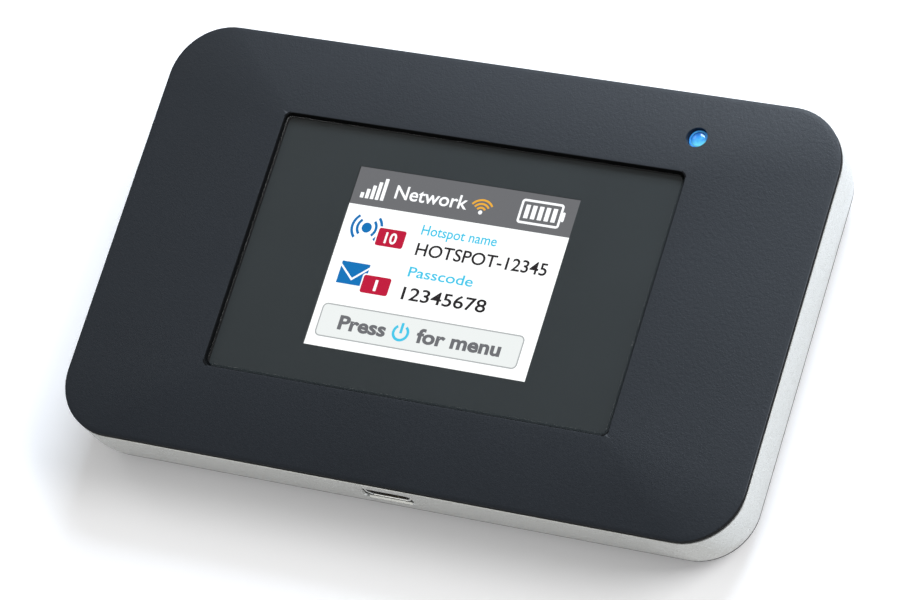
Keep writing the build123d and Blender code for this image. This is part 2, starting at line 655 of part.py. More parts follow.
def usb_section():
    """Socket section: square above, drawn in below."""
    half_w = USB_SHELL_W / 2
    half_h = USB_SHELL_H / 2
    with BuildSketch() as section:
        with BuildLine():
            Polyline((-half_w, half_h), (half_w, half_h), (half_w, -USB_SHOULDER),
                     (half_w - USB_NARROW, -half_h), (USB_NARROW - half_w, -half_h),
                     (-half_w, -USB_SHOULDER), close=True)
        make_face()
        fillet(section.vertices(), USB_BEND_R)
    return section.sketch


usb_outer = usb_section()
usb_inner = offset(usb_outer, -USB_SKIN)
with BuildPart() as usb_shell:
    with BuildSketch(Plane.XZ.offset(-USB_Y)):
        with Locations((0, USB_Z)):
            add(usb_outer)
            add(usb_inner, mode=Mode.SUBTRACT)
    extrude(amount=-USB_SHELL_D)
finish_piece(usb_shell, "usb_shell")

with BuildPart() as usb_tongue:
    with BuildSketch(Plane.XZ.offset(-USB_Y - USB_SHELL_D + USB_BASE_D)):
        with Locations((0, USB_Z)):
            add(usb_inner)
    extrude(amount=-USB_BASE_D)
    with BuildSketch(Plane.XZ.offset(-USB_Y - USB_SKIN)):
        with Locations((0, USB_Z + TONGUE_UP)):
            Rectangle(TONGUE_W, TONGUE_T)
    extrude(amount=-(USB_SHELL_D - USB_BASE_D))
finish_piece(usb_tongue, "usb_tongue")

USB_CONTACT_T = 0.08
USB_CONTACT_W = 0.35
USB_PITCH = 0.65
with BuildPart() as usb_contacts:
    with BuildSketch(Plane.XZ.offset(-USB_Y - 2 * USB_SKIN)):
        with Locations((0, USB_Z + TONGUE_UP - TONGUE_T / 2 - USB_CONTACT_T / 2)):
            with GridLocations(USB_PITCH, 1, 5, 1):
                Rectangle(USB_CONTACT_W, USB_CONTACT_T)
    extrude(amount=-(USB_SHELL_D - USB_BASE_D - 2 * USB_SKIN))
finish_piece(usb_contacts, "usb_contacts")

# ---- SIM socket and card ----------------------------------------------------------------------------

CAGE_W = SIM_W + 2 * (SIM_PLAY + SIM_SKIN)
CAGE_H = BOARD_Z - SIM_CAGE_Z
with BuildPart() as sim_cage:
    with BuildSketch(Plane.XY.offset(SIM_CAGE_Z)):
        with Locations((SIM_X, SIM_END_Y)):
            Rectangle(CAGE_W, SIM_SOCKET_L, align=(Align.CENTER, Align.MAX))
    extrude(amount=CAGE_H)
    with BuildSketch(Plane.XY.offset(SIM_CAGE_Z + SIM_SKIN)):
        with Locations((SIM_X, SIM_END_Y - SIM_SKIN)):
            Rectangle(CAGE_W - 2 * SIM_SKIN, SIM_SOCKET_L, align=(Align.CENTER, Align.MAX))
    extrude(amount=CAGE_H, mode=Mode.SUBTRACT)
    with BuildSketch(Plane.XY.offset(SIM_CAGE_Z)):
        with Locations((SIM_X, SIM_END_Y - SIM_SOCKET_L / 2)):
            Rectangle(SIM_W / 2, SIM_SOCKET_L / 2)
    extrude(amount=SIM_SKIN, mode=Mode.SUBTRACT)
finish_piece(sim_cage, "sim_cage")

with BuildPart() as sim_base:
    with BuildSketch(Plane.XY.offset(BOARD_Z - SIM_BASE_T)):
        with Locations((SIM_X, SIM_END_Y - SIM_SKIN)):
            Rectangle(CAGE_W - 2 * SIM_SKIN, SIM_SOCKET_L - SIM_SKIN, align=(Align.CENTER, Align.MAX))
    extrude(amount=SIM_BASE_T)
finish_piece(sim_base, "sim_base")

SIM_CORNER = 3.0
with BuildPart() as sim_card:
    with BuildSketch(Plane.XY.offset(SIM_CARD_Z)):
        with Locations((SIM_X, SIM_END_Y - SIM_SKIN - SLIP)):
            Rectangle(SIM_W, SIM_L, align=(Align.CENTER, Align.MAX))
    extrude(amount=SIM_T)
    chamfer(sim_card.edges().filter_by(Axis.Z).sort_by(Axis.Y)[-1], SIM_CORNER)
finish_piece(sim_card, "sim_card")

# ---- Power button and switch --------------------------------------------------------------------------

BUTTON_DEPTH = BAND_WALL + SLIP
BUTTON_FACE_Y = HEIGHT / 2
FLANGE_Y = BUTTON_FACE_Y - BUTTON_DEPTH
BUTTON_BACK_Y = FLANGE_Y - BUTTON_FLANGE_T
BUTTON_EDGE_R = 0.25
with BuildPart() as power_button:
    with BuildSketch(Plane.XZ.offset(-FLANGE_Y)):
        with Locations((0, BUTTON_Z)):
            SlotOverall(BUTTON_W, BUTTON_H)
    extrude(amount=-BUTTON_DEPTH)
    fillet(power_button.faces().sort_by(Axis.Y)[-1].edges(), BUTTON_EDGE_R)
    with BuildSketch(Plane.XZ.offset(-BUTTON_BACK_Y)):
        with Locations((0, BUTTON_Z)):
            Rectangle(BUTTON_W + 2 * BUTTON_FLANGE, BUTTON_H + 2 * SLIP)
    extrude(amount=-BUTTON_FLANGE_T)
finish_piece(power_button, "power_button")

PLUNGER_W = 1.8
PLUNGER_H = 0.9
PLUNGER_L = 2.0
PLUNGER_Y = BUTTON_BACK_Y - SLIP
PLUNGER_Z = BOARD_TOP + SWITCH_H / 2
SWITCH_W = 4.7
SWITCH_D = 2.6
SWITCH_Y = HEIGHT / 2 - BOARD_INSET - SLIP
SOCKET_D = PLUNGER_L - (PLUNGER_Y - SWITCH_Y) + BUTTON_TRAVEL + SLIP
with BuildPart() as power_switch_body:
    with BuildSketch(Plane.XY.offset(BOARD_TOP)):
        with Locations((0, SWITCH_Y)):
            Rectangle(SWITCH_W, SWITCH_D, align=(Align.CENTER, Align.MAX))
    extrude(amount=SWITCH_H)
    with BuildSketch(Plane.XZ.offset(-SWITCH_Y)):
        with Locations((0, PLUNGER_Z)):
            Rectangle(PLUNGER_W + 2 * SLIP, PLUNGER_H + 2 * SLIP)
    extrude(amount=SOCKET_D, mode=Mode.SUBTRACT)
finish_piece(power_switch_body, "power_switch_body")

with BuildPart() as power_switch_plunger:
    with BuildSketch(Plane.XZ.offset(-PLUNGER_Y)):
        with Locations((0, PLUNGER_Z)):
            Rectangle(PLUNGER_W, PLUNGER_H)
    extrude(amount=PLUNGER_L)
finish_piece(power_switch_plunger, "power_switch_plunger")

# ---- Reset switch, reached through the battery bay ------------------------------------------------------

RESET_W = 4.0
RESET_H = 0.8
RESET_R = 0.7
RESET_OUT = 0.6
with BuildPart() as reset_switch_body:
    with BuildSketch(Plane.XY.offset(BOARD_Z - RESET_H)):
        with Locations((SIM_X, RESET_Y)):
            Rectangle(RESET_W, RESET_W)
            Circle(RESET_R + SLIP, mode=Mode.SUBTRACT)
    extrude(amount=RESET_H)
finish_piece(reset_switch_body, "reset_switch_body")

with BuildPart() as reset_plunger:
    with BuildSketch(Plane.XY.offset(BOARD_Z - RESET_H - RESET_OUT)):
        with Locations((SIM_X, RESET_Y)):
            Circle(RESET_R)
    extrude(amount=RESET_H + RESET_OUT - RESET_TRAVEL - SLIP)
finish_piece(reset_plunger, "reset_plunger")

# ---- Battery and its connector ----------------------------------------------------------------------------

CONTACT_PITCH = 2.4
CONTACT_T = 0.1
CONTACT_W = 1.4
CONTACT_Z = BATTERY_Z + BATTERY_T / 2
BATTERY_EDGE_R = 0.6
BATTERY_CORNER_R = 1.2
LABEL_T = 0.05
LABEL_MARGIN = 3.0
with BuildPart() as battery_pack:
    with BuildSketch(Plane.XY.offset(BATTERY_Z)):
        with Locations((BATTERY_X, 0)):
            RectangleRounded(BATTERY_L, BATTERY_W, BATTERY_CORNER_R)
    extrude(amount=BATTERY_T)
    fillet(battery_pack.edges().group_by(Axis.Z)[0], BATTERY_EDGE_R)
    fillet(battery_pack.edges().group_by(Axis.Z)[-1], BATTERY_EDGE_R)
finish_piece(battery_pack, "battery_pack")

with BuildPart() as battery_label:
    with BuildSketch(Plane.XY.offset(BATTERY_Z - LABEL_T)):
        with Locations((BATTERY_X, 0)):
            RectangleRounded(BATTERY_L - 2 * LABEL_MARGIN, BATTERY_W - 2 * LABEL_MARGIN, LABEL_R)
    extrude(amount=LABEL_T)
finish_piece(battery_label, "battery_label")

with BuildPart() as battery_contacts:
    with BuildSketch(Plane.YZ.offset(BATTERY_END)):
        with Locations((0, CONTACT_Z)):
            with GridLocations(CONTACT_PITCH, 1, 4, 1):
                Rectangle(CONTACT_W, 2 * CONTACT_W)
    extrude(amount=CONTACT_T)
finish_piece(battery_contacts, "battery_contacts")

CONNECTOR_RISE = 0.4
CONNECTOR_Z = BAY_WALL_Z + CONNECTOR_RISE
with BuildPart() as battery_connector:
    with BuildSketch(Plane.XY.offset(CONNECTOR_Z)):
        with Locations((CONNECTOR_X, 0)):
            Rectangle(CONNECTOR_D, CONNECTOR_W)
    extrude(amount=BOARD_Z - CONNECTOR_Z)
finish_piece(battery_connector, "battery_connector")

SPRING_W = 0.8
SPRING_T = 0.2
SPRING_NOSE = BATTERY_END + CONTACT_T + 2 * SLIP
SPRING_ROOT = CONNECTOR_X - CONNECTOR_D / 2
with BuildPart() as battery_springs:
    with BuildSketch(Plane.XY.offset(CONTACT_Z)):
        with Locations(((SPRING_NOSE + SPRING_ROOT) / 2, 0)):
            with GridLocations(1, CONTACT_PITCH, 1, 4):
                Rectangle(SPRING_ROOT - SPRING_NOSE, SPRING_W)
    extrude(amount=SPRING_T)
finish_piece(battery_springs, "battery_springs")

# ---- Antennas -----------------------------------------------------------------------------------------------

CARRIER_INSET = 3.7
CARRIER_W = 4.4
CARRIER_L = 38.0
CARRIER_T = 1.9
MAIN_CARRIER_X = WIDTH / 2 - CARRIER_INSET - CARRIER_W / 2
CARRIERS = (("main_antenna", MAIN_CARRIER_X, FLOOR_Z - CARRIER_T - SLIP, -1),
            ("wifi_antenna", -MAIN_CARRIER_X, BOARD_TOP, 1))
STRIP_T = 0.1
STRIP_MARGIN = 0.6
SLOT_W = 1.0
SLOT_SHARE = 0.7
for family, carrier_x, carrier_z, side in CARRIERS:
    strip_z = carrier_z + CARRIER_T if side > 0 else carrier_z - STRIP_T
    with BuildPart() as carrier:
        with BuildSketch(Plane.XY.offset(carrier_z)):
            with Locations((carrier_x, 0)):
                Rectangle(CARRIER_W, CARRIER_L)
        extrude(amount=CARRIER_T)
    finish_piece(carrier, family + "_carrier")
    with BuildPart() as strip:
        with BuildSketch(Plane.XY.offset(strip_z)):
            with Locations((carrier_x, 0)):
                Rectangle(CARRIER_W - 2 * STRIP_MARGIN, CARRIER_L - 2 * STRIP_MARGIN)
            with Locations((carrier_x, 0)):
                Rectangle(SLOT_W, SLOT_SHARE * CARRIER_L, mode=Mode.SUBTRACT)
        extrude(amount=STRIP_T)
    finish_piece(strip, family)
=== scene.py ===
import logging
import math
from dataclasses import dataclass, field
from enum import Enum
from typing import Any, Iterable, Sequence

import bmesh
import bpy
from mathutils import Matrix, Vector


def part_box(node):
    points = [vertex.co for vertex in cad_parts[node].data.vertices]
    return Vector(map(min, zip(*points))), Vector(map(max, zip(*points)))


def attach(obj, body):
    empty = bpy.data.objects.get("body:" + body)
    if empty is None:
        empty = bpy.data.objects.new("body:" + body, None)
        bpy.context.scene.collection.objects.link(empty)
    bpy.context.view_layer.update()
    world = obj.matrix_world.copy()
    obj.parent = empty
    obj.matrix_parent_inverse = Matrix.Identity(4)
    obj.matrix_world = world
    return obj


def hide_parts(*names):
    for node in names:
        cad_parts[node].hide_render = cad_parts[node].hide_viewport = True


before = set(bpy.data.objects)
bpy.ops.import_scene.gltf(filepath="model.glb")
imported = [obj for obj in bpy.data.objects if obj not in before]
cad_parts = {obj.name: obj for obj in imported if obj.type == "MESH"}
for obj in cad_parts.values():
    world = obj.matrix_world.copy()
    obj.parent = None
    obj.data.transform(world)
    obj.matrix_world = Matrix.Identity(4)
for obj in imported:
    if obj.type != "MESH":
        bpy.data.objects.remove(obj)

LOG = logging.getLogger("mobile_hotspot")
MM = 0.001
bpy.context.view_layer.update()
HOUSING = "housing"
HAIR = 0.001 * MM  # keeps two faces from lying in one plane
SLIP = 0.1 * MM  # how far a cutting block stands past what it cuts

Colour = tuple[float, float, float]
Point = tuple[float, float, float]


def srgb(red: int, green: int, blue: int) -> Colour:
    """Linear colour of an sRGB colour given from 0 to 255."""
    def linear(value: int) -> float:
        share = value / 255
        return share / 12.92 if share <= 0.04045 else ((share + 0.055) / 1.055) ** 2.4
    return linear(red), linear(green), linear(blue)


# ---- Shader building --------------------------------------------------------------------------


class Signal:
    """A number on an output socket, which Python's operators turn into Math nodes."""

    def __init__(self, shader: "Shader", socket: bpy.types.NodeSocket) -> None:
        """Wraps one output socket of a shader's node tree."""
        self.shader = shader
        self.socket = socket

    def _math(self, operation: str, first: Any, second: Any) -> "Signal":
        """Adds one Math node.

        Args:
            operation: the Math node's operation.
            first: the first value or signal.
            second: the second value or signal.

        Returns:
            The node's result.
        """
        return self.shader.signal("ShaderNodeMath", {"operation": operation}, {0: first, 1: second})

    def __add__(self, other: Any) -> "Signal":
        """Sum of two signals, or of a signal and a number."""
        return self._math("ADD", self, other)

    def __sub__(self, other: Any) -> "Signal":
        """Difference of two signals, or of a signal and a number."""
        return self._math("SUBTRACT", self, other)

    def __rsub__(self, other: Any) -> "Signal":
        """Difference of a number and a signal."""
        return self._math("SUBTRACT", other, self)

    def __mul__(self, other: Any) -> "Signal":
        """Product of two signals, or of a signal and a number."""
        return self._math("MULTIPLY", self, other)

    def above(self, limit: float) -> "Signal":
        """1 where the signal is over limit, else 0."""
        return self._math("GREATER_THAN", self, limit)

    __radd__ = __add__
    __rmul__ = __mul__


class Shader:
    """One material's node tree with its Principled shader."""

    def __init__(self, name: str) -> None:
        """Starts an empty material of that name."""
        self.material = bpy.data.materials.new(name)
        self.material.use_nodes = True
        self.tree = self.material.node_tree
        self.tree.nodes.clear()
        self.output = self.node("ShaderNodeOutputMaterial", {}, {})
        self.surface = self.node("ShaderNodeBsdfPrincipled", {}, {})
        self.link(self.surface.outputs[0], self.output.inputs["Surface"])

    def link(self, source: bpy.types.NodeSocket, target: bpy.types.NodeSocket) -> None:
        """Joins two sockets."""
        self.tree.links.new(source, target)

    def feed(self, target: bpy.types.NodeSocket, value: Any) -> None:
        """Gives an input socket a link or a plain value.

        Args:
            target: the input socket.
            value: a Signal, an output socket, a number or a tuple.
        """
        if isinstance(value, Signal):
            self.link(value.socket, target)
        elif isinstance(value, bpy.types.NodeSocket):
            self.link(value, target)
        elif isinstance(value, tuple) and len(value) == 3 and target.type == "RGBA":
            target.default_value = (*value, 1.0)
        else:
            target.default_value = value

    def node(self, kind: str, settings: dict[str, Any], sockets: dict[Any, Any]) -> bpy.types.Node:
        """Adds a node.

        Args:
            kind: the node's Blender type.
            settings: its properties, with a ramp's stops under "stops" as (place, colour) pairs.
            sockets: the values or links of its input sockets, by name or number.

        Returns:
            The new node.
        """
        made = self.tree.nodes.new(kind)
        for name, value in settings.items():
            if name == "stops":
                ramp = made.color_ramp.elements
                while len(ramp) < len(value):
                    ramp.new(1.0)
                for stop, (place, colour) in zip(ramp, value):
                    stop.position = place
                    stop.color = (*colour, 1.0)
            else:
                setattr(made, name, value)
        for key, value in sockets.items():
            self.feed(made.inputs[key], value)
        return made

    def signal(self, kind: str, settings: dict[str, Any], sockets: dict[Any, Any], output: Any = 0) -> Signal:
        """Adds a node and returns one of its outputs as a Signal.

        Args:
            kind: the node's Blender type.
            settings: its properties.
            sockets: its input values or links.
            output: the output's name or number.

        Returns:
            The output as a Signal.
        """
        return Signal(self, self.node(kind, settings, sockets).outputs[output])

    def place(self) -> bpy.types.NodeSocket:
        """The point of the surface in the object's own frame, in metres."""
        return self.node("ShaderNodeTexCoord", {}, {}).outputs["Object"]

    def noise(self, size: float, detail: float = 2.0, roughness: float = 0.5,
              place: Any = None) -> Signal:
        """Noise whose grains are about size metres across.

        Args:
            size: the grain's size.
            detail: octaves of finer grain.
            roughness: strength of the finer grain.
            place: coordinates, or None for the object's own.

        Returns:
            The noise, from 0 to 1.
        """
        sockets = {"Vector": place or self.place(), "Scale": 1 / size, "Detail": detail,
                   "Roughness": roughness}
        return self.signal("ShaderNodeTexNoise", {}, sockets)

    def blend(self, share: Any, low: Any, high: Any) -> bpy.types.NodeSocket:
        """Mixes two colours.

        Args:
            share: 0 for the low colour, 1 for the high one.
            low: a colour or link.
            high: a colour or link.

        Returns:
            The mixed colour's socket.
        """
        mixed = self.node("ShaderNodeMix", {"data_type": "RGBA"}, {0: share, 6: low, 7: high})
        return mixed.outputs[2]

    def bump(self, height: Signal, depth: float, strength: float = 1.0) -> None:
        """Raises the surface by a height signal.

        Args:
            height: the pattern, from 0 to 1.
            depth: metres for a height of 1.
            strength: share of the bump that shows.
        """
        sockets = {"Height": height, "Distance": depth, "Strength": strength}
        self.set(Normal=self.node("ShaderNodeBump", {}, sockets).outputs[0])

    def set(self, **values: Any) -> None:
        """Sets the Principled shader's sockets; an underscore stands for a space in a name."""
        for name, value in values.items():
            self.feed(self.surface.inputs[name.replace("_", " ")], value)


@dataclass(frozen=True)
class Finish:
    """A moulded or painted surface: mottled colour, fine grain and uneven gloss.

    Args:
        name: the material's name.
        colour: the base colour.
        roughness: mean roughness.
        grain: size of one grain of the texture.
        depth: height of the grain.
        mottle: how far the colour drifts, as a share.
        metallic: 0 for plastic and paint, 1 for bare metal.
        coat: strength of a clear coat.
        specular: specular level.
    """

    name: str
    colour: Colour
    roughness: float = 0.5
    grain: float = 0.25 * MM
    depth: float = 0.004 * MM
    mottle: float = 0.08
    metallic: float = 0.0
    coat: float = 0.0
    specular: float = 0.5

    def drift(self, shader: Shader) -> Signal:
        """Slow and fine variation over the surface, about 0.5 in the mean."""
        return 0.5 * shader.noise(14 * MM, 3.0) + 0.5 * shader.noise(3 * self.grain, 4.0, 0.6)

    def base(self, shader: Shader, share: Signal) -> bpy.types.NodeSocket:
        """The colour, darker and lighter by the mottle."""
        low = tuple(c * (1 - self.mottle) for c in self.colour)
        high = tuple(c * (1 + self.mottle) for c in self.colour)
        return shader.blend(share, low, high)

    def pattern(self, shader: Shader) -> None:
        """Adds what this kind of surface has beyond the grain."""

    def material(self) -> bpy.types.Material:
        """The finished material, made once for each name."""
        if self.name in bpy.data.materials:
            return bpy.data.materials[self.name]
        shader = Shader(self.name)
        share = self.drift(shader)
        shader.set(Base_Color=self.base(shader, share), Metallic=self.metallic, Coat_Weight=self.coat)
        shader.set(Specular_IOR_Level=self.specular, Coat_Roughness=0.2)
        shader.set(Roughness=(self.roughness - 0.05) + 0.1 * share)
        shader.bump(shader.noise(self.grain, 3.0, 0.6), self.depth)
        self.pattern(shader)
        return shader.material


@dataclass(frozen=True)
class SoftTouch(Finish):
    """Soft-touch paint: two sizes of grain, rubbed smoother in slow patches, with a painted highlight in a
    paler colour on its sharp edges and creases.
    """

    fine: float = 0.19 * MM
    edge_highlight: Colour = srgb(112, 115, 120)
    edge_highlight_share: float = 0.0

    def pattern(self, shader: Shader) -> None:
        """Lays pebbled cells over the finer grain, and paints a highlight on sharp edges when asked."""
        sockets = {"Vector": shader.place(), "Scale": 1 / self.grain}
        cells = shader.signal("ShaderNodeTexVoronoi", {"feature": "SMOOTH_F1"}, sockets)
        fine = shader.noise(self.fine, 2.0)
        relief = 0.45 * (1 - cells) + 0.8 * fine
        rubbed = shader.noise(22 * MM, 2.0)
        shader.bump(relief, self.depth)
        shader.set(Roughness=(self.roughness - 0.10) + 0.08 * rubbed + 0.12 * cells)
        # Painted highlight: a paler colour laid by pointiness on sharp edges and creases, where they catch
        # the light.
        if self.edge_highlight_share:
            edge = shader.signal("ShaderNodeNewGeometry", {}, {}, "Pointiness")
            highlit_edge = shader.signal("ShaderNodeMapRange", {}, {0: edge, 1: 0.575, 2: 0.67, 4: self.edge_highlight_share})
            paint = self.base(shader, 0.6 * fine + 0.4 * rubbed)
            shader.set(Base_Color=shader.blend(highlit_edge, paint, self.edge_highlight))


@dataclass(frozen=True)
class GlowingPaper(Finish):
    """Studio paper lit softly from beneath, which thins the shadows on it."""

    glow: float = 0.22

    def pattern(self, shader: Shader) -> None:
        """Adds the light from beneath."""
        shader.set(Emission_Color=self.colour, Emission_Strength=self.glow)


@dataclass(frozen=True)
class SatinPaint(Finish):
    """Metallic silver paint: tiny flakes in a clear binder."""

    flake: float = 0.07 * MM

    def pattern(self, shader: Shader) -> None:
        """Scatters brighter and darker flakes in the colour and gloss."""
        sockets = {"Vector": shader.place(), "Scale": 1 / self.flake}
        node = shader.node("ShaderNodeTexVoronoi", {}, sockets)
        split = shader.node("ShaderNodeSeparateColor", {}, {0: node.outputs["Color"]})
        glint = Signal(shader, split.outputs[0])
        low = tuple(c * (1 - self.mottle) for c in self.colour)
        high = tuple(min(1.0, c * (1 + self.mottle)) for c in self.colour)
        shader.set(Base_Color=shader.blend(glint, low, high))
        shader.set(Roughness=(self.roughness - 0.06) + 0.12 * glint)


@dataclass(frozen=True)
class SheetMetal(Finish):
    """Tinned or plated sheet with rolling lines and dull patches."""

    stretch: float = 12.0

    def pattern(self, shader: Shader) -> None:
        """Adds fine lines along X and cloudy patches."""
        sockets = {"Vector": shader.place(), "Scale": (1.0, self.stretch, self.stretch)}
        along = shader.node("ShaderNodeMapping", {}, sockets)
        lines = shader.noise(2 * MM, 4.0, 0.7, along.outputs[0])
        clouds = shader.noise(3 * MM, 3.0)
        shader.set(Roughness=(self.roughness - 0.1) + 0.12 * lines + 0.08 * clouds)
        shader.bump(lines, self.depth)


@dataclass(frozen=True)
class CircuitBoard(Finish):
    """Solder mask over tracks and a ground plane stitched with vias."""

    track: float = 1.3 * MM
    copper: Colour = srgb(46, 120, 66)

    def pattern(self, shader: Shader) -> None:
        """Draws tracks as square cells and vias as dots."""
        sockets = {"Vector": shader.place(), "Scale": 1 / self.track}
        cells = shader.signal("ShaderNodeTexVoronoi", {"distance": "CHEBYCHEV", "feature": "F2"}, sockets)
        dots = shader.signal("ShaderNodeTexVoronoi", {}, sockets)
        tracks = cells.above(0.62)
        vias = 1 - dots.above(0.14)
        lit = shader.blend(tracks, self.colour, self.copper)
        shader.set(Base_Color=shader.blend(vias, lit, srgb(196, 178, 120)))
        shader.bump(tracks, self.depth)


@dataclass(frozen=True)
class Lit:
    """A surface that gives its own light, such as a lit picture or a lamp.

    Args:
        name: the material's name.
        colour: the colour of its light.
        power: brightness.
        pitch: spacing of the picture's own fine grid.
    """

    name: str
    colour: Colour
    power: float = 1.26
    pitch: float = 0.22 * MM

    def material(self) -> bpy.types.Material:
        """The finished material, with a faint grid of picture elements."""
        if self.name in bpy.data.materials:
            return bpy.data.materials[self.name]
        shader = Shader(self.name)
        sockets = {"Vector": shader.place(), "Scale": 1 / self.pitch, "Mortar Size": 0.03, "Brick Width": 1.0,
                   "Row Height": 1.0, "Color1": (1, 1, 1), "Color2": (1, 1, 1), "Mortar": (0, 0, 0)}
        grid = shader.signal("ShaderNodeTexBrick", {"offset": 0.0}, sockets, "Fac")
        dim = tuple(c * 0.94 for c in self.colour)
        shader.set(Emission_Color=shader.blend(grid, self.colour, dim), Emission_Strength=self.power)
        shader.set(Base_Color=(0.0, 0.0, 0.0), Roughness=0.6, Specular_IOR_Level=0.0)
        return shader.material


@dataclass(frozen=True)
class ClearWindow:
    """Clear hard-coated plastic: see-through, with a gloss that grows at glancing angles."""

    name: str = "pane_acrylic"
    roughness: float = 0.16
    index: float = 1.5
    tint: Colour = (0.975, 0.985, 0.985)

    def material(self) -> bpy.types.Material:
        """The finished material; its inner side passes light straight through."""
        if self.name in bpy.data.materials:
            return bpy.data.materials[self.name]
        shader = Shader(self.name)
        haze = shader.noise(0.35 * MM, 3.0, 0.6)
        shader.set(Base_Color=(1.0, 1.0, 1.0), Metallic=1.0, Roughness=(self.roughness - 0.03) + 0.06 * haze)
        clear = shader.node("ShaderNodeBsdfTransparent", {}, {"Color": self.tint})
        inner = shader.node("ShaderNodeNewGeometry", {}, {}).outputs["Backfacing"]
        gloss = shader.signal("ShaderNodeFresnel", {}, {"IOR": self.index})
        front = (1 - Signal(shader, inner)) * (0.02 + 1.0 * gloss)
        sockets = {0: front, 1: clear.outputs[0], 2: shader.surface.outputs[0]}
        mixed = shader.node("ShaderNodeMixShader", {}, sockets)
        shader.link(mixed.outputs[0], shader.output.inputs["Surface"])
        return shader.material


@dataclass(frozen=True)
class LampLens:
    """Clear blue moulding lit from below: brightest low in its dome."""

    name: str = "lamp_acrylic"
    deep: Colour = srgb(16, 52, 120)
    middle: Colour = srgb(48, 128, 200)
    bright: Colour = srgb(110, 215, 240)

    def material(self) -> bpy.types.Material:
        """The finished material, whose light gathers towards -Y."""
        shader = Shader(self.name)
        glow = shader.node("ShaderNodeNewGeometry", {}, {}).outputs["Normal"]
        parts = shader.node("ShaderNodeSeparateXYZ", {}, {0: glow})
        lean = 0.25 - 1.0 * Signal(shader, parts.outputs[1]) + 0.35 * Signal(shader, parts.outputs[0])
        cloud = 0.5 * shader.noise(0.7 * MM, 3.0)
        stops = [(0.0, self.deep), (0.5, self.middle), (1.0, self.bright)]
        ramp = shader.node("ShaderNodeValToRGB", {"stops": stops}, {0: lean + cloud})
        shader.set(Base_Color=ramp.outputs[0], Emission_Color=ramp.outputs[0], Emission_Strength=0.4)
        shader.set(Roughness=0.12 + 0.05 * shader.noise(0.5 * MM), Coat_Weight=0.6, Coat_Roughness=0.05)
        return shader.material


# The face paint carries a painted highlight on its creases and sharp edges.
GRAPHITE = SoftTouch("face_paint", srgb(25, 29, 34), 0.50, 0.42 * MM, 0.030 * MM, 0.30, edge_highlight_share=0.4)
# Painted shade: a near-black, dull finish for the cover's rim and window walls, standing for the shade they
# lie in.
RIM_PAINTED_SHADE = Finish("bare_rim", srgb(14, 15, 16), 0.75, 0.2 * MM, 0.004 * MM, 0.10, specular=0.12)
BLACK_MOULDING = SoftTouch("tray_plastic", srgb(24, 25, 27), 0.55, 0.35 * MM, 0.008 * MM, 0.10)
SILVER = SatinPaint("band_paint", srgb(190, 191, 188), 0.32, 0.12 * MM, 0.0015 * MM, 0.07, 0.75, 0.10)
TIN = SheetMetal("tin_plate", srgb(214, 214, 212), 0.30, 0.2 * MM, 0.002 * MM, 0.04, 1.0)
GOLD = SheetMetal("gold_plate", srgb(222, 180, 96), 0.25, 0.1 * MM, 0.001 * MM, 0.05, 1.0)
COPPER = SheetMetal("copper_foil", srgb(196, 120, 84), 0.30, 0.1 * MM, 0.001 * MM, 0.06, 1.0)
MASK_BLACK = Finish("mask_ink", srgb(31, 36, 37), 0.5, 0.2 * MM, 0.001 * MM, 0.3)
BOARD = CircuitBoard("solder_mask", srgb(20, 82, 44), 0.35, 0.4 * MM, 0.01 * MM, 0.05)
CHIP = Finish("chip_epoxy", srgb(30, 31, 34), 0.55, 0.15 * MM, 0.004 * MM, 0.12)
WHITE = Finish("bright_plastic", srgb(226, 226, 222), 0.4, 0.3 * MM, 0.002 * MM, 0.03)
FILM = Finish("amber_film", srgb(150, 88, 30), 0.3, 0.5 * MM, 0.002 * MM, 0.15, 0.0, 0.4)
FOAM = Finish("sponge", srgb(44, 44, 46), 0.85, 0.3 * MM, 0.06 * MM, 0.25)
SHEET = Finish("carbon_sheet", srgb(62, 63, 66), 0.45, 0.4 * MM, 0.006 * MM, 0.12, 0.4)
PAPER = Finish("label_paper", srgb(222, 222, 216), 0.75, 0.2 * MM, 0.006 * MM, 0.05)
WRAP = Finish("pack_wrap", srgb(52, 54, 58), 0.42, 0.6 * MM, 0.004 * MM, 0.08, 0.0, 0.2)
GUIDE = Finish("guide_acrylic", srgb(214, 226, 232), 0.15, 0.4 * MM, 0.001 * MM, 0.03)

CARRIED_OVER: dict[Finish, tuple[str, ...]] = {
    BLACK_MOULDING: ("rear_chassis", "display_frame", "main_antenna_carrier", "wifi_antenna_carrier",
                     "battery_connector", "lcd_connector", "power_switch_body", "reset_switch_body",
                     "sim_base"),
    MASK_BLACK: ("lens_mask", "lens_adhesive", "lcd_polariser"),
    GUIDE: ("lcd_light_guide", "lcd_glass"),
    WHITE: ("lcd_backlight_frame", "reset_plunger", "power_switch_plunger", "sim_card", "status_led"),
    BOARD: ("main_board",),
    CHIP: ("rf_chip", "baseband_chip", "power_chip", "wifi_chip", "memory_chip", "board_passives"),
    TIN: ("rf_shield", "baseband_shield", "power_shield", "wifi_shield", "sim_cage"),
    GOLD: ("usb_contacts", "battery_contacts", "battery_springs"),
    COPPER: ("main_antenna", "wifi_antenna"),
    FILM: ("lcd_flex",),
    FOAM: ("battery_pad", "display_gasket", "thermal_pad"),
    SHEET: ("heat_spreader",),
    PAPER: ("bay_label", "battery_label"),
    WRAP: ("battery_pack",),
}


# ---- Mesh building ----------------------------------------------------------------------------


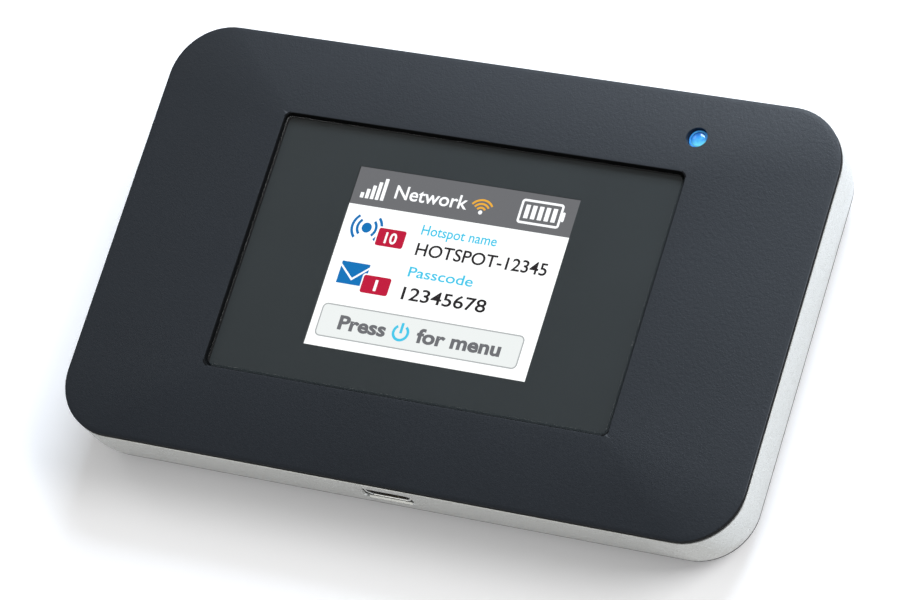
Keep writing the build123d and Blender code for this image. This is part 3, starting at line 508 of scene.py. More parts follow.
@dataclass(frozen=True)
class Loop:
    """A rounded rectangle that lies flat at one height.

    Args:
        half_w: half its width.
        half_h: half its height.
        radius: its corner radius.
        z: its height above the back.
        shift: how far its centre stands to +X.
    """

    half_w: float
    half_h: float
    radius: float
    z: float
    shift: float = 0.0

    def points(self, arc_steps: int = 14, long_steps: int = 18, short_steps: int = 10) -> list[Point]:
        """Points once round, counter-clockwise, as many for every loop.

        Args:
            arc_steps: divisions of one corner.
            long_steps: divisions of a side along X.
            short_steps: divisions of a side along Y.

        Returns:
            The loop's points.
        """
        inner_w, inner_h = self.half_w - self.radius, self.half_h - self.radius
        corners = ((1, 1, 0, long_steps), (-1, 1, 90, short_steps), (-1, -1, 180, long_steps),
                   (1, -1, 270, short_steps))
        ring: list[Point] = []
        for index, (side_x, side_y, start, steps) in enumerate(corners):
            centre_x, centre_y = side_x * inner_w, side_y * inner_h
            for step in range(arc_steps + 1):
                angle = math.radians(start + 90 * step / arc_steps)
                ring.append((self.shift + centre_x + self.radius * math.cos(angle),
                             centre_y + self.radius * math.sin(angle), self.z))
            next_x, next_y = corners[(index + 1) % 4][:2]
            turn = math.radians(start + 90)
            goal = Vector((self.shift + next_x * inner_w + self.radius * math.cos(turn),
                           next_y * inner_h + self.radius * math.sin(turn), self.z))
            last = Vector(ring[-1])
            ring += [tuple(last.lerp(goal, step / steps)) for step in range(1, steps)]
        return ring


class MeshMaker:
    """Collects rings and faces, and turns them into one named piece."""

    def __init__(self) -> None:
        """Starts with nothing."""
        self.mesh = bmesh.new()

    def ring(self, points: Iterable[Point]) -> list[bmesh.types.BMVert]:
        """Adds points and returns their vertices."""
        return [self.mesh.verts.new(point) for point in points]

    def bridge(self, first: Sequence[Any], second: Sequence[Any]) -> None:
        """Joins two rings of as many vertices by quads."""
        count = len(first)
        for index in range(count):
            after = (index + 1) % count
            self.mesh.faces.new((first[index], first[after], second[after], second[index]))

    def skin(self, rings: Sequence[Iterable[Point]], closed: bool = False) -> None:
        """Joins rings in order, and closes the ends.

        Args:
            rings: the rings' points.
            closed: True joins the last ring to the first; False caps both ends.
        """
        made = [self.ring(points) for points in rings]
        for first, second in zip(made, made[1:]):
            self.bridge(first, second)
        if closed:
            self.bridge(made[-1], made[0])
        else:
            self.mesh.faces.new(made[0])
            self.mesh.faces.new(made[-1])

    def piece(self, name: str, finish: Any, crease: float = 30.0) -> bpy.types.Object:
        """Makes the object, smooth up to the crease angle.

        Args:
            name: the piece's name.
            finish: an object with a material() method.
            crease: angle in degrees over which an edge stays sharp.

        Returns:
            The new object.
        """
        bmesh.ops.remove_doubles(self.mesh, verts=self.mesh.verts, dist=1e-7)
        bmesh.ops.recalc_face_normals(self.mesh, faces=self.mesh.faces)
        data = bpy.data.meshes.new(name)
        self.mesh.to_mesh(data)
        self.mesh.free()
        made = bpy.data.objects.new(name, data)
        bpy.context.scene.collection.objects.link(made)
        data.materials.append(finish.material())
        smooth(made, crease)
        return made


def smooth(piece: bpy.types.Object, crease: float = 30.0) -> None:
    """Shades a piece smooth, with edges over the crease angle sharp.

    Args:
        piece: a mesh object.
        crease: the angle in degrees.
    """
    data = piece.data
    data.polygons.foreach_set("use_smooth", [True] * len(data.polygons))
    data.set_sharp_from_angle(angle=math.radians(crease))


def combine(piece: bpy.types.Object, tools: Sequence[bpy.types.Object], operation: str) -> None:
    """Cuts tools from a piece or joins them to it, and removes them.

    Args:
        piece: the piece that stays.
        tools: closed meshes.
        operation: DIFFERENCE or UNION.
    """
    for tool in tools:
        step = piece.modifiers.new("step", "BOOLEAN")
        step.operation = operation
        step.solver = "EXACT"
        step.object = tool
        bpy.context.view_layer.update()
        result = bpy.data.meshes.new_from_object(piece.evaluated_get(bpy.context.evaluated_depsgraph_get()))
        piece.modifiers.clear()
        piece.data = result
        bpy.data.objects.remove(tool)
    smooth(piece)


def turned(centre: Point, profile: Sequence[tuple[float, float]], steps: int = 48) -> list[list[Point]]:
    """Rings of a turned shape about an upright axis.

    Args:
        centre: a point on the axis.
        profile: (radius, height) pairs, heights from the centre.
        steps: divisions once round.

    Returns:
        One ring for each pair.
    """
    rings = []
    for radius, height in profile:
        angles = [2 * math.pi * step / steps for step in range(steps)]
        rings.append([(centre[0] + radius * math.cos(a), centre[1] + radius * math.sin(a), centre[2] + height)
                      for a in angles])
    return rings


def flat_outline(half_w: float, half_h: float, radius: float, steps: int = 8) -> list[tuple[float, float]]:
    """Rounded rectangle about the origin as (u, v) pairs."""
    return [(x, y) for x, y, _ in Loop(half_w, half_h, radius, 0.0).points(steps, 2, 2)]


def add_block(name: str, low: Point, high: Point) -> bpy.types.Object:
    """A plain block between two corners, used only to cut with."""
    maker = MeshMaker()
    corners = [(low[0], low[1]), (high[0], low[1]), (high[0], high[1]), (low[0], high[1])]
    maker.skin([[(x, y, z) for x, y in corners] for z in (low[2], high[2])])
    return maker.piece(name, BLACK_MOULDING)


def carry(piece: bpy.types.Object, body: str, slot: str, *nodes: str) -> bpy.types.Object:
    """Makes a piece ride on a body and stand for CAD nodes.

    Args:
        piece: the new piece.
        body: the body that it moves with.
        slot: not used.
        nodes: the CAD nodes that it replaces.

    Returns:
        The piece.
    """
    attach(piece, body)
    if nodes:
        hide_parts(*nodes)
    return piece


# ---- Sub-assemblies ---------------------------------------------------------------------------


@dataclass
class BodyShape:
    """The outline and edge curve that the covers and the band share."""

    corner: float = 9.0 * MM
    tuck_z: float = 7.65 * MM
    tuck_r: float = 15.0 * MM
    seam_z: float = field(init=False)
    half_w: float = field(init=False)
    half_h: float = field(init=False)

    def __post_init__(self) -> None:
        """Takes the overall size from the frame."""
        low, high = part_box("front_cover")
        self.half_w = (high.x - low.x) / 2
        self.half_h = (high.y - low.y) / 2
        self.seam_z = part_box("side_band")[0].z
        self.tuck_angle = math.asin((self.tuck_z - self.seam_z) / self.tuck_r)
        self.back_r = self.seam_z / (1 - math.sin(self.tuck_angle))
        self.back_inset = self.tuck_r - (self.tuck_r - self.back_r) * math.cos(self.tuck_angle)

    def loop(self, inset: float, z: float) -> Loop:
        """The outline pulled in by inset, at height z."""
        return Loop(self.half_w - inset, self.half_h - inset, self.corner - inset, z)

    def tuck(self, share: float) -> Loop:
        """The band's outer surface from the seam (0) up to where the side is upright (1)."""
        angle = self.tuck_angle * (1 - share)
        inset = self.tuck_r * (1 - math.cos(angle))
        return self.loop(inset, self.tuck_z - self.tuck_r * math.sin(angle))

    def under(self, share: float, wall: float = 0.0) -> Loop:
        """The back cover's surface from its flat (0) to the seam (1), pulled in by wall."""
        angle = math.pi / 2 - (math.pi / 2 - self.tuck_angle) * share
        radius = self.back_r - wall
        return self.loop(self.back_inset - radius * math.cos(angle), self.back_r - radius * math.sin(angle))


@dataclass
class SideBand:
    """The silver band round the middle, with its socket cut-out and button slot."""

    shape: BodyShape
    wall: float = 1.5 * MM
    edge: float = 0.25 * MM
    shelf_w: float = 1.4 * MM
    shelf_t: float = 0.8 * MM
    shelf_z: float = 7.7 * MM
    gap: float = 8.0 * MM
    mouth_w: float = 7.9 * MM
    mouth_h: float = 2.9 * MM
    mouth_r: float = 0.65 * MM
    mouth_flare: float = 0.25 * MM
    slot_half_w: float = 6.1 * MM
    slot_half_h: float = 1.6 * MM
    slot_r: float = 1.59 * MM
    slot_flare: float = 0.12 * MM
    soft: float = 0.06 * MM
    foot_share: float = 0.04

    def cutter(self, name: str, centre: Point, half_w: float, half_h: float, radius: float,
               outward: int, flare: float) -> bpy.types.Object:
        """A rounded block along Y with a flared mouth.

        Args:
            name: the tool's name.
            centre: the mouth's centre on the outer surface.
            half_w: half its width along X.
            half_h: half its height along Z.
            radius: its corner radius.
            outward: 1 where the mouth faces +Y, -1 where it faces -Y.
            flare: how far and how deep the mouth widens.

        Returns:
            The cutting tool.
        """
        maker = MeshMaker()
        steps = ((self.wall, flare), (0.0, flare), (-flare, 0.0), (-2 * self.wall, 0.0))
        rings = []
        for out, grow in steps:
            outline = flat_outline(half_w + grow, half_h + grow, radius + grow)
            rings.append([(centre[0] + u, centre[1] + outward * out, centre[2] + v) for u, v in outline])
        maker.skin(rings)
        return maker.piece(name, SILVER)

    def rings(self) -> list[Loop]:
        """The band's section, followed once round from its lower edge."""
        shape = self.shape
        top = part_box("side_band")[1].z
        inner = self.wall
        shelf_top = self.shelf_z + self.shelf_t
        small = self.soft
        foot = shape.tuck(0.0)
        outer = [Loop(foot.half_w - small, foot.half_h - small, foot.radius - small, foot.z)]
        outer += [shape.tuck(max(row / 10, self.foot_share)) for row in range(11)]
        upright = top - self.edge - shape.tuck_z
        outer += [shape.loop(0.0, shape.tuck_z + upright * row / 5) for row in range(1, 6)]
        for share in (0.06, 0.14, 0.86, 0.94, 1.0):
            outer.append(shape.loop(self.edge * share, top - self.edge * (1 - share)))
        shelf_end = inner + self.shelf_w
        inside = [(inner - small, top), (inner, top - small), (inner, shelf_top), (shelf_end, shelf_top),
                  (shelf_end, self.shelf_z), (inner, self.shelf_z), (inner, shape.seam_z + small),
                  (inner - small, shape.seam_z)]
        return outer + [shape.loop(inset, z) for inset, z in inside]

    def build(self) -> None:
        """Makes the band, cuts it and puts it in the frame."""
        maker = MeshMaker()
        maker.skin([loop.points() for loop in self.rings()], closed=True)
        band = maker.piece("silver_band", SILVER)
        edge_y = self.shape.half_h
        usb_low, usb_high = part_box("usb_shell")
        button_low, button_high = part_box("power_button")
        button_z = (button_low.z + button_high.z) / 2
        inside = self.shape.half_h - self.wall - HAIR
        notch = add_block("shelf_notch", (-self.gap, -inside, self.shelf_z - SLIP),
                          (self.gap, inside, self.shelf_z + self.shelf_t + SLIP))
        mouth = self.cutter("socket_mouth", (0, -edge_y, (usb_low.z + usb_high.z) / 2), self.mouth_w / 2,
                            self.mouth_h / 2, self.mouth_r, -1, self.mouth_flare)
        slot = self.cutter("button_slot", (0, edge_y, button_z), self.slot_half_w, self.slot_half_h,
                           self.slot_r, 1, self.slot_flare)
        combine(band, [notch, mouth, slot], "DIFFERENCE")
        carry(band, HOUSING, "silver_satin", "side_band")


@dataclass
class FrontCover:
    """The graphite face: four gently crowned facets that rise to the window."""

    shape: BodyShape
    rim: float = 0.9 * MM
    rim_round: float = 0.10 * MM
    bulge: float = 0.18 * MM
    land: float = 0.3 * MM
    lip_round: float = 0.12 * MM
    window_gap: float = 0.3 * MM
    window_r: float = 1.2 * MM
    rows: int = 22
    lamp_hole: float = 1.55 * MM
    lamp_edge: float = 0.08 * MM
    inset: float = 1.6 * MM
    skirt: float = 0.9 * MM
    skirt_z: float = 8.5 * MM
    face_wall: float = 1.3 * MM
    ledge: float = 0.8 * MM
    margin: float = 2.0 * MM
    soft: float = 0.08 * MM
    gasket_rim: float = 0.7 * MM
    opening_r: float = 0.2 * MM
    notch_half_w: float = 8.0 * MM
    notch_reach: float = 0.5 * MM

    def face(self, share: float) -> Loop:
        """The outer face from its edge (0) to the window (1)."""
        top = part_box("front_cover")[1].z
        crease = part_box("side_band")[1].z + self.rim
        lens_low, lens_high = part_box("display_lens")
        half_w = lens_high.x + self.window_gap + self.land
        half_h = lens_high.y + self.window_gap + self.land
        height = crease + (top - crease) * share + 4 * self.bulge * share * (1 - share)
        return Loop(self.shape.half_w + (half_w - self.shape.half_w) * share,
                    self.shape.half_h + (half_h - self.shape.half_h) * share,
                    self.shape.corner + (self.window_r + self.land - self.shape.corner) * share, height)

    def rings(self) -> list[Loop]:
        """The cover's section, followed once round from the window's wall."""
        shape = self.shape
        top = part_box("front_cover")[1].z
        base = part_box("side_band")[1].z
        crease = base + self.rim
        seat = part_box("lens_adhesive")[0].z
        window = self.face(1.0)
        open_w, open_h = window.half_w - self.land, window.half_h - self.land
        frame_w, frame_h = open_w + self.margin, open_h + self.margin
        loops = [Loop(open_w, open_h, self.window_r, z) for z in (seat, top - self.lip_round)]
        for step in range(1, 5):
            angle = math.radians(22.5 * step)
            grow = self.lip_round * (1 - math.cos(angle))
            loops.append(Loop(open_w + grow, open_h + grow, self.window_r + grow,
                              top - self.lip_round * (1 - math.sin(angle))))
        first = self.rim_round / (shape.half_h - window.half_h)
        loops += [self.face(1 - (1 - first) * row / self.rows) for row in range(self.rows + 1)]
        for step in range(1, 6):
            angle = math.radians(18 * step)
            loops.append(shape.loop(self.rim_round * (1 - math.sin(angle)),
                                    crease - self.rim_round * (1 - math.cos(angle))))
        small = self.soft
        under = [(0.0, base + small), (small, base), (self.inset, base - HAIR), (self.inset, self.skirt_z),
                 (self.inset + self.skirt, self.skirt_z), (self.inset + self.skirt, base + small)]
        loops += [shape.loop(inset, z) for inset, z in under]
        frame_r = self.window_r + self.margin
        loops += [Loop(frame_w, frame_h, frame_r, z) for z in (top - self.face_wall, seat - self.ledge)]
        gasket_low, gasket_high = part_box("display_gasket")
        shift = (gasket_low.x + gasket_high.x) / 2
        hole_w = (gasket_high.x - gasket_low.x) / 2 - self.gasket_rim
        hole_h = gasket_high.y - self.gasket_rim
        return loops + [Loop(hole_w, hole_h, self.opening_r, z, shift) for z in (seat - self.ledge, seat)]

    def paint_rim_shade(self, cover: bpy.types.Object) -> None:
        """Gives the upright rim under the crease, and the walls inside the window, a darker, duller material:
        painted shade for the shade these faces lie in.

        Args:
            cover: the cover's piece.
        """
        cover.data.materials.append(RIM_PAINTED_SHADE.material())
        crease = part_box("side_band")[1].z + self.rim
        window = self.face(1.0)
        wall_x, wall_y = window.half_w - 0.5 * self.land, window.half_h - 0.5 * self.land
        # Faces below the crease and inside the window take the painted-shade finish.
        for polygon in cover.data.polygons:
            place = polygon.center
            under = place.z < crease - 0.5 * self.rim_round
            inside = abs(place.x) < wall_x and abs(place.y) < wall_y
            if under or inside:
                polygon.material_index = 1

    def build(self) -> None:
        """Makes the cover and its lamp hole."""
        maker = MeshMaker()
        maker.skin([loop.points() for loop in self.rings()], closed=True)
        cover = maker.piece("graphite_face", GRAPHITE)
        self.paint_rim_shade(cover)
        lamp_low, lamp_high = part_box("led_light_pipe")
        centre = ((lamp_low.x + lamp_high.x) / 2, (lamp_low.y + lamp_high.y) / 2, 0.0)
        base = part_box("side_band")[1].z
        across = (self.shape.half_h - centre[1]) / (self.shape.half_h - self.face(1.0).half_h)
        surface = self.face(across).z
        hole = MeshMaker()
        radius, edge = self.lamp_hole, self.lamp_edge
        profile = [(radius, base), (radius, surface - 2 * edge), (radius + edge, surface),
                   (radius + 4 * edge, surface + self.rim)]
        hole.skin(turned(centre, profile))
        reach = self.shape.half_h - self.inset - HAIR + self.notch_reach
        notch = add_block("skirt_notch", (-self.notch_half_w, -reach, self.skirt_z - SLIP),
                          (self.notch_half_w, reach, base - 10 * HAIR))
        combine(cover, [hole.piece("lamp_hole", GRAPHITE), notch], "DIFFERENCE")
        carry(cover, HOUSING, "graphite_soft_touch", "front_cover")


@dataclass
class BackCover:
    """The dark lift-off tray under the band, with its lip and nail notch."""

    shape: BodyShape
    wall: float = 1.2 * MM
    lip_inset: float = 1.8 * MM
    lip_wall: float = 1.0 * MM
    gap: float = 0.1 * MM
    notch_y: float = -18.0 * MM
    notch_r: float = 6.0 * MM
    notch_depth: float = 1.0 * MM
    notch_cut: float = 0.95 * MM
    soft: float = 0.08 * MM
    middle_r: float = 3.0 * MM

    def rings(self) -> list[Loop]:
        """The tray's section, from the middle of its flat outside to the middle of its inside."""
        shape = self.shape
        rim = shape.seam_z - self.gap
        lip_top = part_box("back_cover")[1].z
        small = self.soft
        steps = 14
        outer = [shape.under(step / steps) for step in range(steps)]
        edge = shape.under(1.0)
        outset = shape.half_w - edge.half_w
        inner_end = self.lip_inset + self.lip_wall
        loops = [Loop(shape.half_w * 0.5, shape.half_h * 0.4, self.middle_r, 0.0)] + outer
        lip = [(outset + 10 * HAIR, rim - small), (outset + small, rim), (self.lip_inset, rim),
               (self.lip_inset, lip_top - small), (self.lip_inset + small, lip_top),
               (inner_end - small, lip_top), (inner_end, lip_top - small)]
        loops += [shape.loop(inset, z) for inset, z in lip]
        inner = [shape.under(step / steps, self.wall) for step in range(steps, -1, -1)]
        loops += [loop for loop in inner if shape.half_w - loop.half_w > inner_end + small]
        loops.append(Loop(shape.half_w * 0.5, shape.half_h * 0.4, self.middle_r, self.wall))
        return loops

    def build(self) -> None:
        """Makes the tray and cuts the notch."""
        maker = MeshMaker()
        maker.skin([loop.points() for loop in self.rings()])
        tray = maker.piece("back_tray", BLACK_MOULDING)
        tool = MeshMaker()
        rim = self.shape.seam_z - self.gap
        middle = rim - self.notch_depth + self.notch_r
        edge = -self.shape.half_w
        rings = []
        for x in (edge - self.notch_cut, edge + self.notch_cut):
            angles = [2 * math.pi * step / 64 for step in range(64)]
            rings.append([(x, self.notch_y + self.notch_r * math.cos(a), middle + self.notch_r * math.sin(a))
                          for a in angles])
        tool.skin(rings)
        combine(tray, [tool.piece("nail_notch", BLACK_MOULDING)], "DIFFERENCE")
        carry(tray, "back_cover", "black_moulding", "back_cover")


@dataclass
class Window:
    """The clear window, with rounded edges, over the lit picture."""

    radius: float = 0.9 * MM
    edge: float = 0.15 * MM
    border: float = 0.2 * MM
    film: float = 0.02 * MM
    bevel: float = 0.05 * MM

    def build(self) -> None:
        """Makes the window's pane."""
        low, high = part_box("display_lens")
        base, bevel = low.z + self.film, self.bevel
        loops = [Loop(high.x - bevel, high.y - bevel, self.radius - bevel, base),
                 Loop(high.x, high.y, self.radius, base + bevel),
                 Loop(high.x, high.y, self.radius, high.z - self.edge)]
        for step in range(1, 6):
            angle = math.radians(18 * step)
            cut = self.edge * (1 - math.cos(angle))
            loops.append(Loop(high.x - cut, high.y - cut, self.radius - cut,
                              high.z - self.edge * (1 - math.sin(angle))))
        flat = self.edge + self.border
        loops.append(Loop(high.x - flat, high.y - flat, self.radius - flat, high.z))
        maker = MeshMaker()
        maker.skin([loop.points() for loop in loops])
        carry(maker.piece("window_pane", ClearWindow()), HOUSING, "smoked_window", "display_lens")


class Ink(Enum):
    """The picture's colours, with the layer that each is laid in."""

    WHITE = (0, srgb(255, 255, 255))
    BAR_GREY = (1, srgb(104, 104, 107))
    BUTTON_EDGE = (3, srgb(168, 170, 171))
    BUTTON_FILL = (2, srgb(228, 230, 229))
    BLUE = (2, srgb(0, 108, 176))
    GAP_WHITE = (3, srgb(254, 254, 254))
    CRIMSON = (4, srgb(184, 14, 54))
    CYAN = (5, srgb(64, 190, 222))
    INK_BLACK = (5, srgb(34, 30, 32))
    WORD_GREY = (5, srgb(104, 104, 108))
    BRIGHT = (5, srgb(252, 252, 254))
    AMBER = (5, srgb(232, 168, 52))


@dataclass
class Picture:
    """The lit picture behind the window, drawn as thin inks on the display."""

    step: float = 0.012 * MM
    ink_share: float = 0.9
    clear: float = 0.01 * MM
    half_w: float = 17.8 * MM
    half_h: float = 14.35 * MM
    capital: float = 0.729
    sheets: dict[Ink, bmesh.types.BMesh] = field(default_factory=dict)

    def __post_init__(self) -> None:
        """Takes the picture's place from the display's mask and polariser."""
        low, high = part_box("lcd_polariser")
        self.middle = Vector(((low.x + high.x) / 2, (low.y + high.y) / 2, high.z + self.clear))

    def sheet(self, ink: Ink) -> bmesh.types.BMesh:
        """The mesh that holds everything of one ink."""
        return self.sheets.setdefault(ink, bmesh.new())

    def lay(self, ink: Ink, outline: Sequence[tuple[float, float]]) -> None:
        """Lays one flat patch.

        Args:
            ink: its colour.
            outline: its corners in millimetres from the picture's middle, counter-clockwise.
        """
        mesh = self.sheet(ink)
        base = self.middle.z + ink.value[0] * self.step
        places = [(self.middle.x + u * MM, self.middle.y + v * MM) for u, v in outline]
        top = base + self.step * self.ink_share
        rings = [[mesh.verts.new((x, y, z)) for x, y in places] for z in (base, top)]
        mesh.faces.new(rings[0][::-1])
        mesh.faces.new(rings[1])
        for index in range(len(outline)):
            after = (index + 1) % len(outline)
            mesh.faces.new((rings[0][index], rings[0][after], rings[1][after], rings[1][index]))

    def patch(self, ink: Ink, left: float, right: float, low: float, high: float,
              radius: float = 0.02) -> None:
        """Lays a rounded rectangle between its sides.

        Args:
            ink: its colour.
            left: its left side.
            right: its right side.
            low: its lower side.
            high: its upper side.
            radius: its corner radius.
        """
        middle_u, middle_v = (left + right) / 2, (low + high) / 2
        outline = flat_outline((right - left) / 2, (high - low) / 2, radius, 6)
        self.lay(ink, [(middle_u + u, middle_v + v) for u, v in outline])

    def arc(self, ink: Ink, centre: tuple[float, float], radius: float, width: float, start: float,
            sweep: float, steps: int = 20) -> None:
        """Lays part of a ring.

        Args:
            ink: its colour.
            centre: the ring's centre.
            radius: the stroke's middle radius.
            width: the stroke's width.
            start: the first angle in degrees.
            sweep: how far it runs, counter-clockwise.
            steps: its divisions.
        """
        angles = [math.radians(start + sweep * index / steps) for index in range(steps + 1)]
        outer, inner = radius + width / 2, radius - width / 2
        outline = [(centre[0] + reach * math.cos(angle), centre[1] + reach * math.sin(angle))
                   for reach, turns in ((outer, angles), (inner, angles[::-1])) for angle in turns]
        self.lay(ink, outline)

    def hoop(self, ink: Ink, left: float, right: float, low: float, high: float, radius: float,
             stroke: float) -> None:
        """Lays a rounded rectangle's outline.

        Args:
            ink: its colour.
            left: its outer left side.
            right: its outer right side.
            low: its outer lower side.
            high: its outer upper side.
            radius: its outer corner radius.
            stroke: the outline's width.
        """
        middle_u, middle_v = (left + right) / 2, (low + high) / 2
        half_w, half_h = (right - left) / 2, (high - low) / 2
        outer = flat_outline(half_w, half_h, radius)
        inner = flat_outline(half_w - stroke, half_h - stroke, max(radius - stroke, 0.02))
        for index in range(len(outer)):
            after = (index + 1) % len(outer)
            quad = (outer[index], outer[after], inner[after], inner[index])
            self.lay(ink, [(middle_u + u, middle_v + v) for u, v in quad])

    def disc(self, ink: Ink, centre: tuple[float, float], radius: float) -> None:
        """Lays a round dot."""
        self.patch(ink, centre[0] - radius, centre[0] + radius, centre[1] - radius, centre[1] + radius,
                   radius * 0.999)

    def words(self, ink: Ink, text: str, left: float, right: float, base: float, tall: float,
              bold: float = 0.012) -> None:
        """Lays generic words, fitted between two sides.

        Args:
            ink: their colour.
            text: the words.
            left: where they start.
            right: where they end.
            base: the height of their base line.
            tall: the height of a capital.
            bold: how far the strokes are thickened, as a share of the capital's height.
        """
        curve = bpy.data.curves.new("words", "FONT")
        curve.body = text
        curve.offset = bold
        curve.resolution_u = 4
        maker = bpy.data.objects.new("words", curve)
        bpy.context.scene.collection.objects.link(maker)
        bpy.context.view_layer.update()
        glyphs = bpy.data.meshes.new_from_object(maker.evaluated_get(bpy.context.evaluated_depsgraph_get()))
        bpy.data.objects.remove(maker)
        places = [vertex.co.x for vertex in glyphs.vertices]
        stretch = (right - left) * MM / (max(places) - min(places))
        rise = tall * MM / self.capital
        layer = self.middle.z + ink.value[0] * self.step
        fit = Matrix.Translation((self.middle.x + left * MM - min(places) * stretch,
                                  self.middle.y + base * MM, layer)) @ Matrix.Diagonal((stretch, rise, 1, 1))
        glyphs.transform(fit)
        mesh = self.sheet(ink)
        first = len(mesh.faces)
        mesh.from_mesh(glyphs)
        mesh.faces.ensure_lookup_table()
        new = list(mesh.faces)[first:]
        lifted = bmesh.ops.extrude_face_region(mesh, geom=new)
        raised = [item for item in lifted["geom"] if isinstance(item, bmesh.types.BMVert)]
        bmesh.ops.translate(mesh, verts=raised, vec=(0, 0, self.step * self.ink_share))

    def top_bar(self) -> None:
        """The grey bar with signal strength, words, waves and battery."""
        edge_u, edge_v = self.half_w / MM, self.half_h / MM
        self.patch(Ink.BAR_GREY, -edge_u, edge_u, 8.4, edge_v)
        for index in range(5):
            left = -16.5 + 0.82 * index
            self.patch(Ink.BRIGHT, left, left + 0.55, 9.5, 10.35 + 0.66 * index, 0.05)
        self.words(Ink.BRIGHT, "Network", -11.1, 0.6, 10.2, 2.2)
        for radius in (0.75, 1.35, 1.95):
            self.arc(Ink.AMBER, (2.9, 10.1), radius, 0.3, 35, 110)
        self.disc(Ink.BRIGHT, (2.9, 10.1), 0.32)
        self.hoop(Ink.BRIGHT, 8.8, 15.5, 9.45, 13.3, 0.5, 0.36)
        self.patch(Ink.BRIGHT, 15.5, 15.95, 10.6, 12.1, 0.2)
        for index in range(5):
            left = 9.65 + 1.08 * index
            self.patch(Ink.BRIGHT, left, left + 0.68, 10.3, 12.45, 0.05)

    def rows(self) -> None:
        """The two rows: a radio mast and an envelope with their counts, and two labelled values."""
        mast = (-13.85, 5.0)
        self.disc(Ink.BLUE, mast, 0.8)
        for radius in (1.5, 2.35):
            for start in (-48, 132):
                self.arc(Ink.BLUE, mast, radius, 0.42, start, 96)
        self.patch(Ink.BLUE, -15.9, -11.35, -4.1, -0.6, 0.1)
        flap = [(-16.0, -0.95), (-13.62, -3.05), (-11.25, -0.95),
                (-11.25, -1.3), (-13.62, -3.45), (-16.0, -1.3)]
        self.lay(Ink.GAP_WHITE, flap[::-1])
        for count, low in (("10", 2.55), ("1", -5.0)):
            self.patch(Ink.GAP_WHITE, -12.0, -7.15, low - 0.2, low + 3.0, 0.4)
            self.patch(Ink.CRIMSON, -11.8, -7.35, low, low + 2.8, 0.35)
            half = 0.95 if len(count) > 1 else 0.22
            self.words(Ink.BRIGHT, count, -9.55 - half, -9.55 + half, low + 0.55, 1.75, 0.02)
        self.words(Ink.CYAN, "Hotspot name", -5.15, 6.9, 5.3, 1.62)
        self.words(Ink.INK_BLACK, "HOTSPOT-12345", -5.1, 15.8, 2.05, 2.0)
        self.words(Ink.CYAN, "Passcode", -5.15, 5.2, -1.4, 1.62)
        self.words(Ink.INK_BLACK, "12345678", -5.1, 8.3, -5.0, 2.05)

    def prompt(self) -> None:
        """The wide button with its power mark."""
        self.patch(Ink.BUTTON_FILL, -16.6, 15.6, -12.55, -7.5, 0.8)
        self.hoop(Ink.BUTTON_EDGE, -16.7, 15.7, -12.65, -7.4, 0.85, 0.2)
        self.words(Ink.WORD_GREY, "Press", -13.4, -5.75, -11.1, 2.2, 0.035)
        self.words(Ink.WORD_GREY, "for menu", -0.8, 12.6, -11.1, 2.2, 0.035)
        self.arc(Ink.CYAN, (-3.4, -10.1), 1.15, 0.42, 125, 290)
        self.patch(Ink.CYAN, -3.61, -3.19, -10.2, -8.55, 0.1)

    def build(self) -> None:
        """Draws the picture and makes one piece for each ink."""
        self.patch(Ink.WHITE, -self.half_w / MM, self.half_w / MM, -self.half_h / MM, self.half_h / MM)
        self.top_bar()
        self.rows()
        self.prompt()
        for ink, mesh in self.sheets.items():
            maker = MeshMaker()
            maker.mesh.free()
            maker.mesh = mesh
            name = "picture_" + ink.name.lower()
            carry(maker.piece(name, Lit(name, ink.value[1])), HOUSING, "display_glass")
            LOG.info("picture ink %s", ink.name)


@dataclass
class StatusLight:
    """The domed blue lens in its hole."""

    flange: float = 0.9 * MM
    dome: float = 0.35 * MM
    collar: float = 0.28 * MM
    flange_t: float = 0.5 * MM
    flange_gap: float = 0.2 * MM
    clearance: float = 0.1 * MM
    pin: float = 0.01 * MM

    def build(self) -> None:
        """Makes the lens as a turned piece."""
        low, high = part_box("led_light_pipe")
        outer = (high.x - low.x) / 2
        radius = outer - self.flange - self.clearance
        centre = ((low.x + high.x) / 2, (low.y + high.y) / 2, 0.0)
        flange_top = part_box("side_band")[1].z + self.flange_gap
        flange_low = flange_top - self.flange_t
        start = high.z - self.dome
        collar = self.collar
        profile = [(self.pin, low.z), (radius, low.z), (radius, flange_low), (outer, flange_low),
                   (outer, flange_top), (radius, flange_top), (radius, start),
                   (radius - 0.04 * MM, start + 0.04 * MM), (radius - collar, start + 0.05 * MM)]
        crown = radius - collar
        for step in range(1, 13):
            angle = math.radians(90 * step / 12)
            profile.append((max(crown * math.cos(angle), self.pin), start + self.dome * math.sin(angle)))
        maker = MeshMaker()
        maker.skin(turned(centre, profile))
        carry(maker.piece("status_lens", LampLens()), HOUSING, "light_pipe", "led_light_pipe")


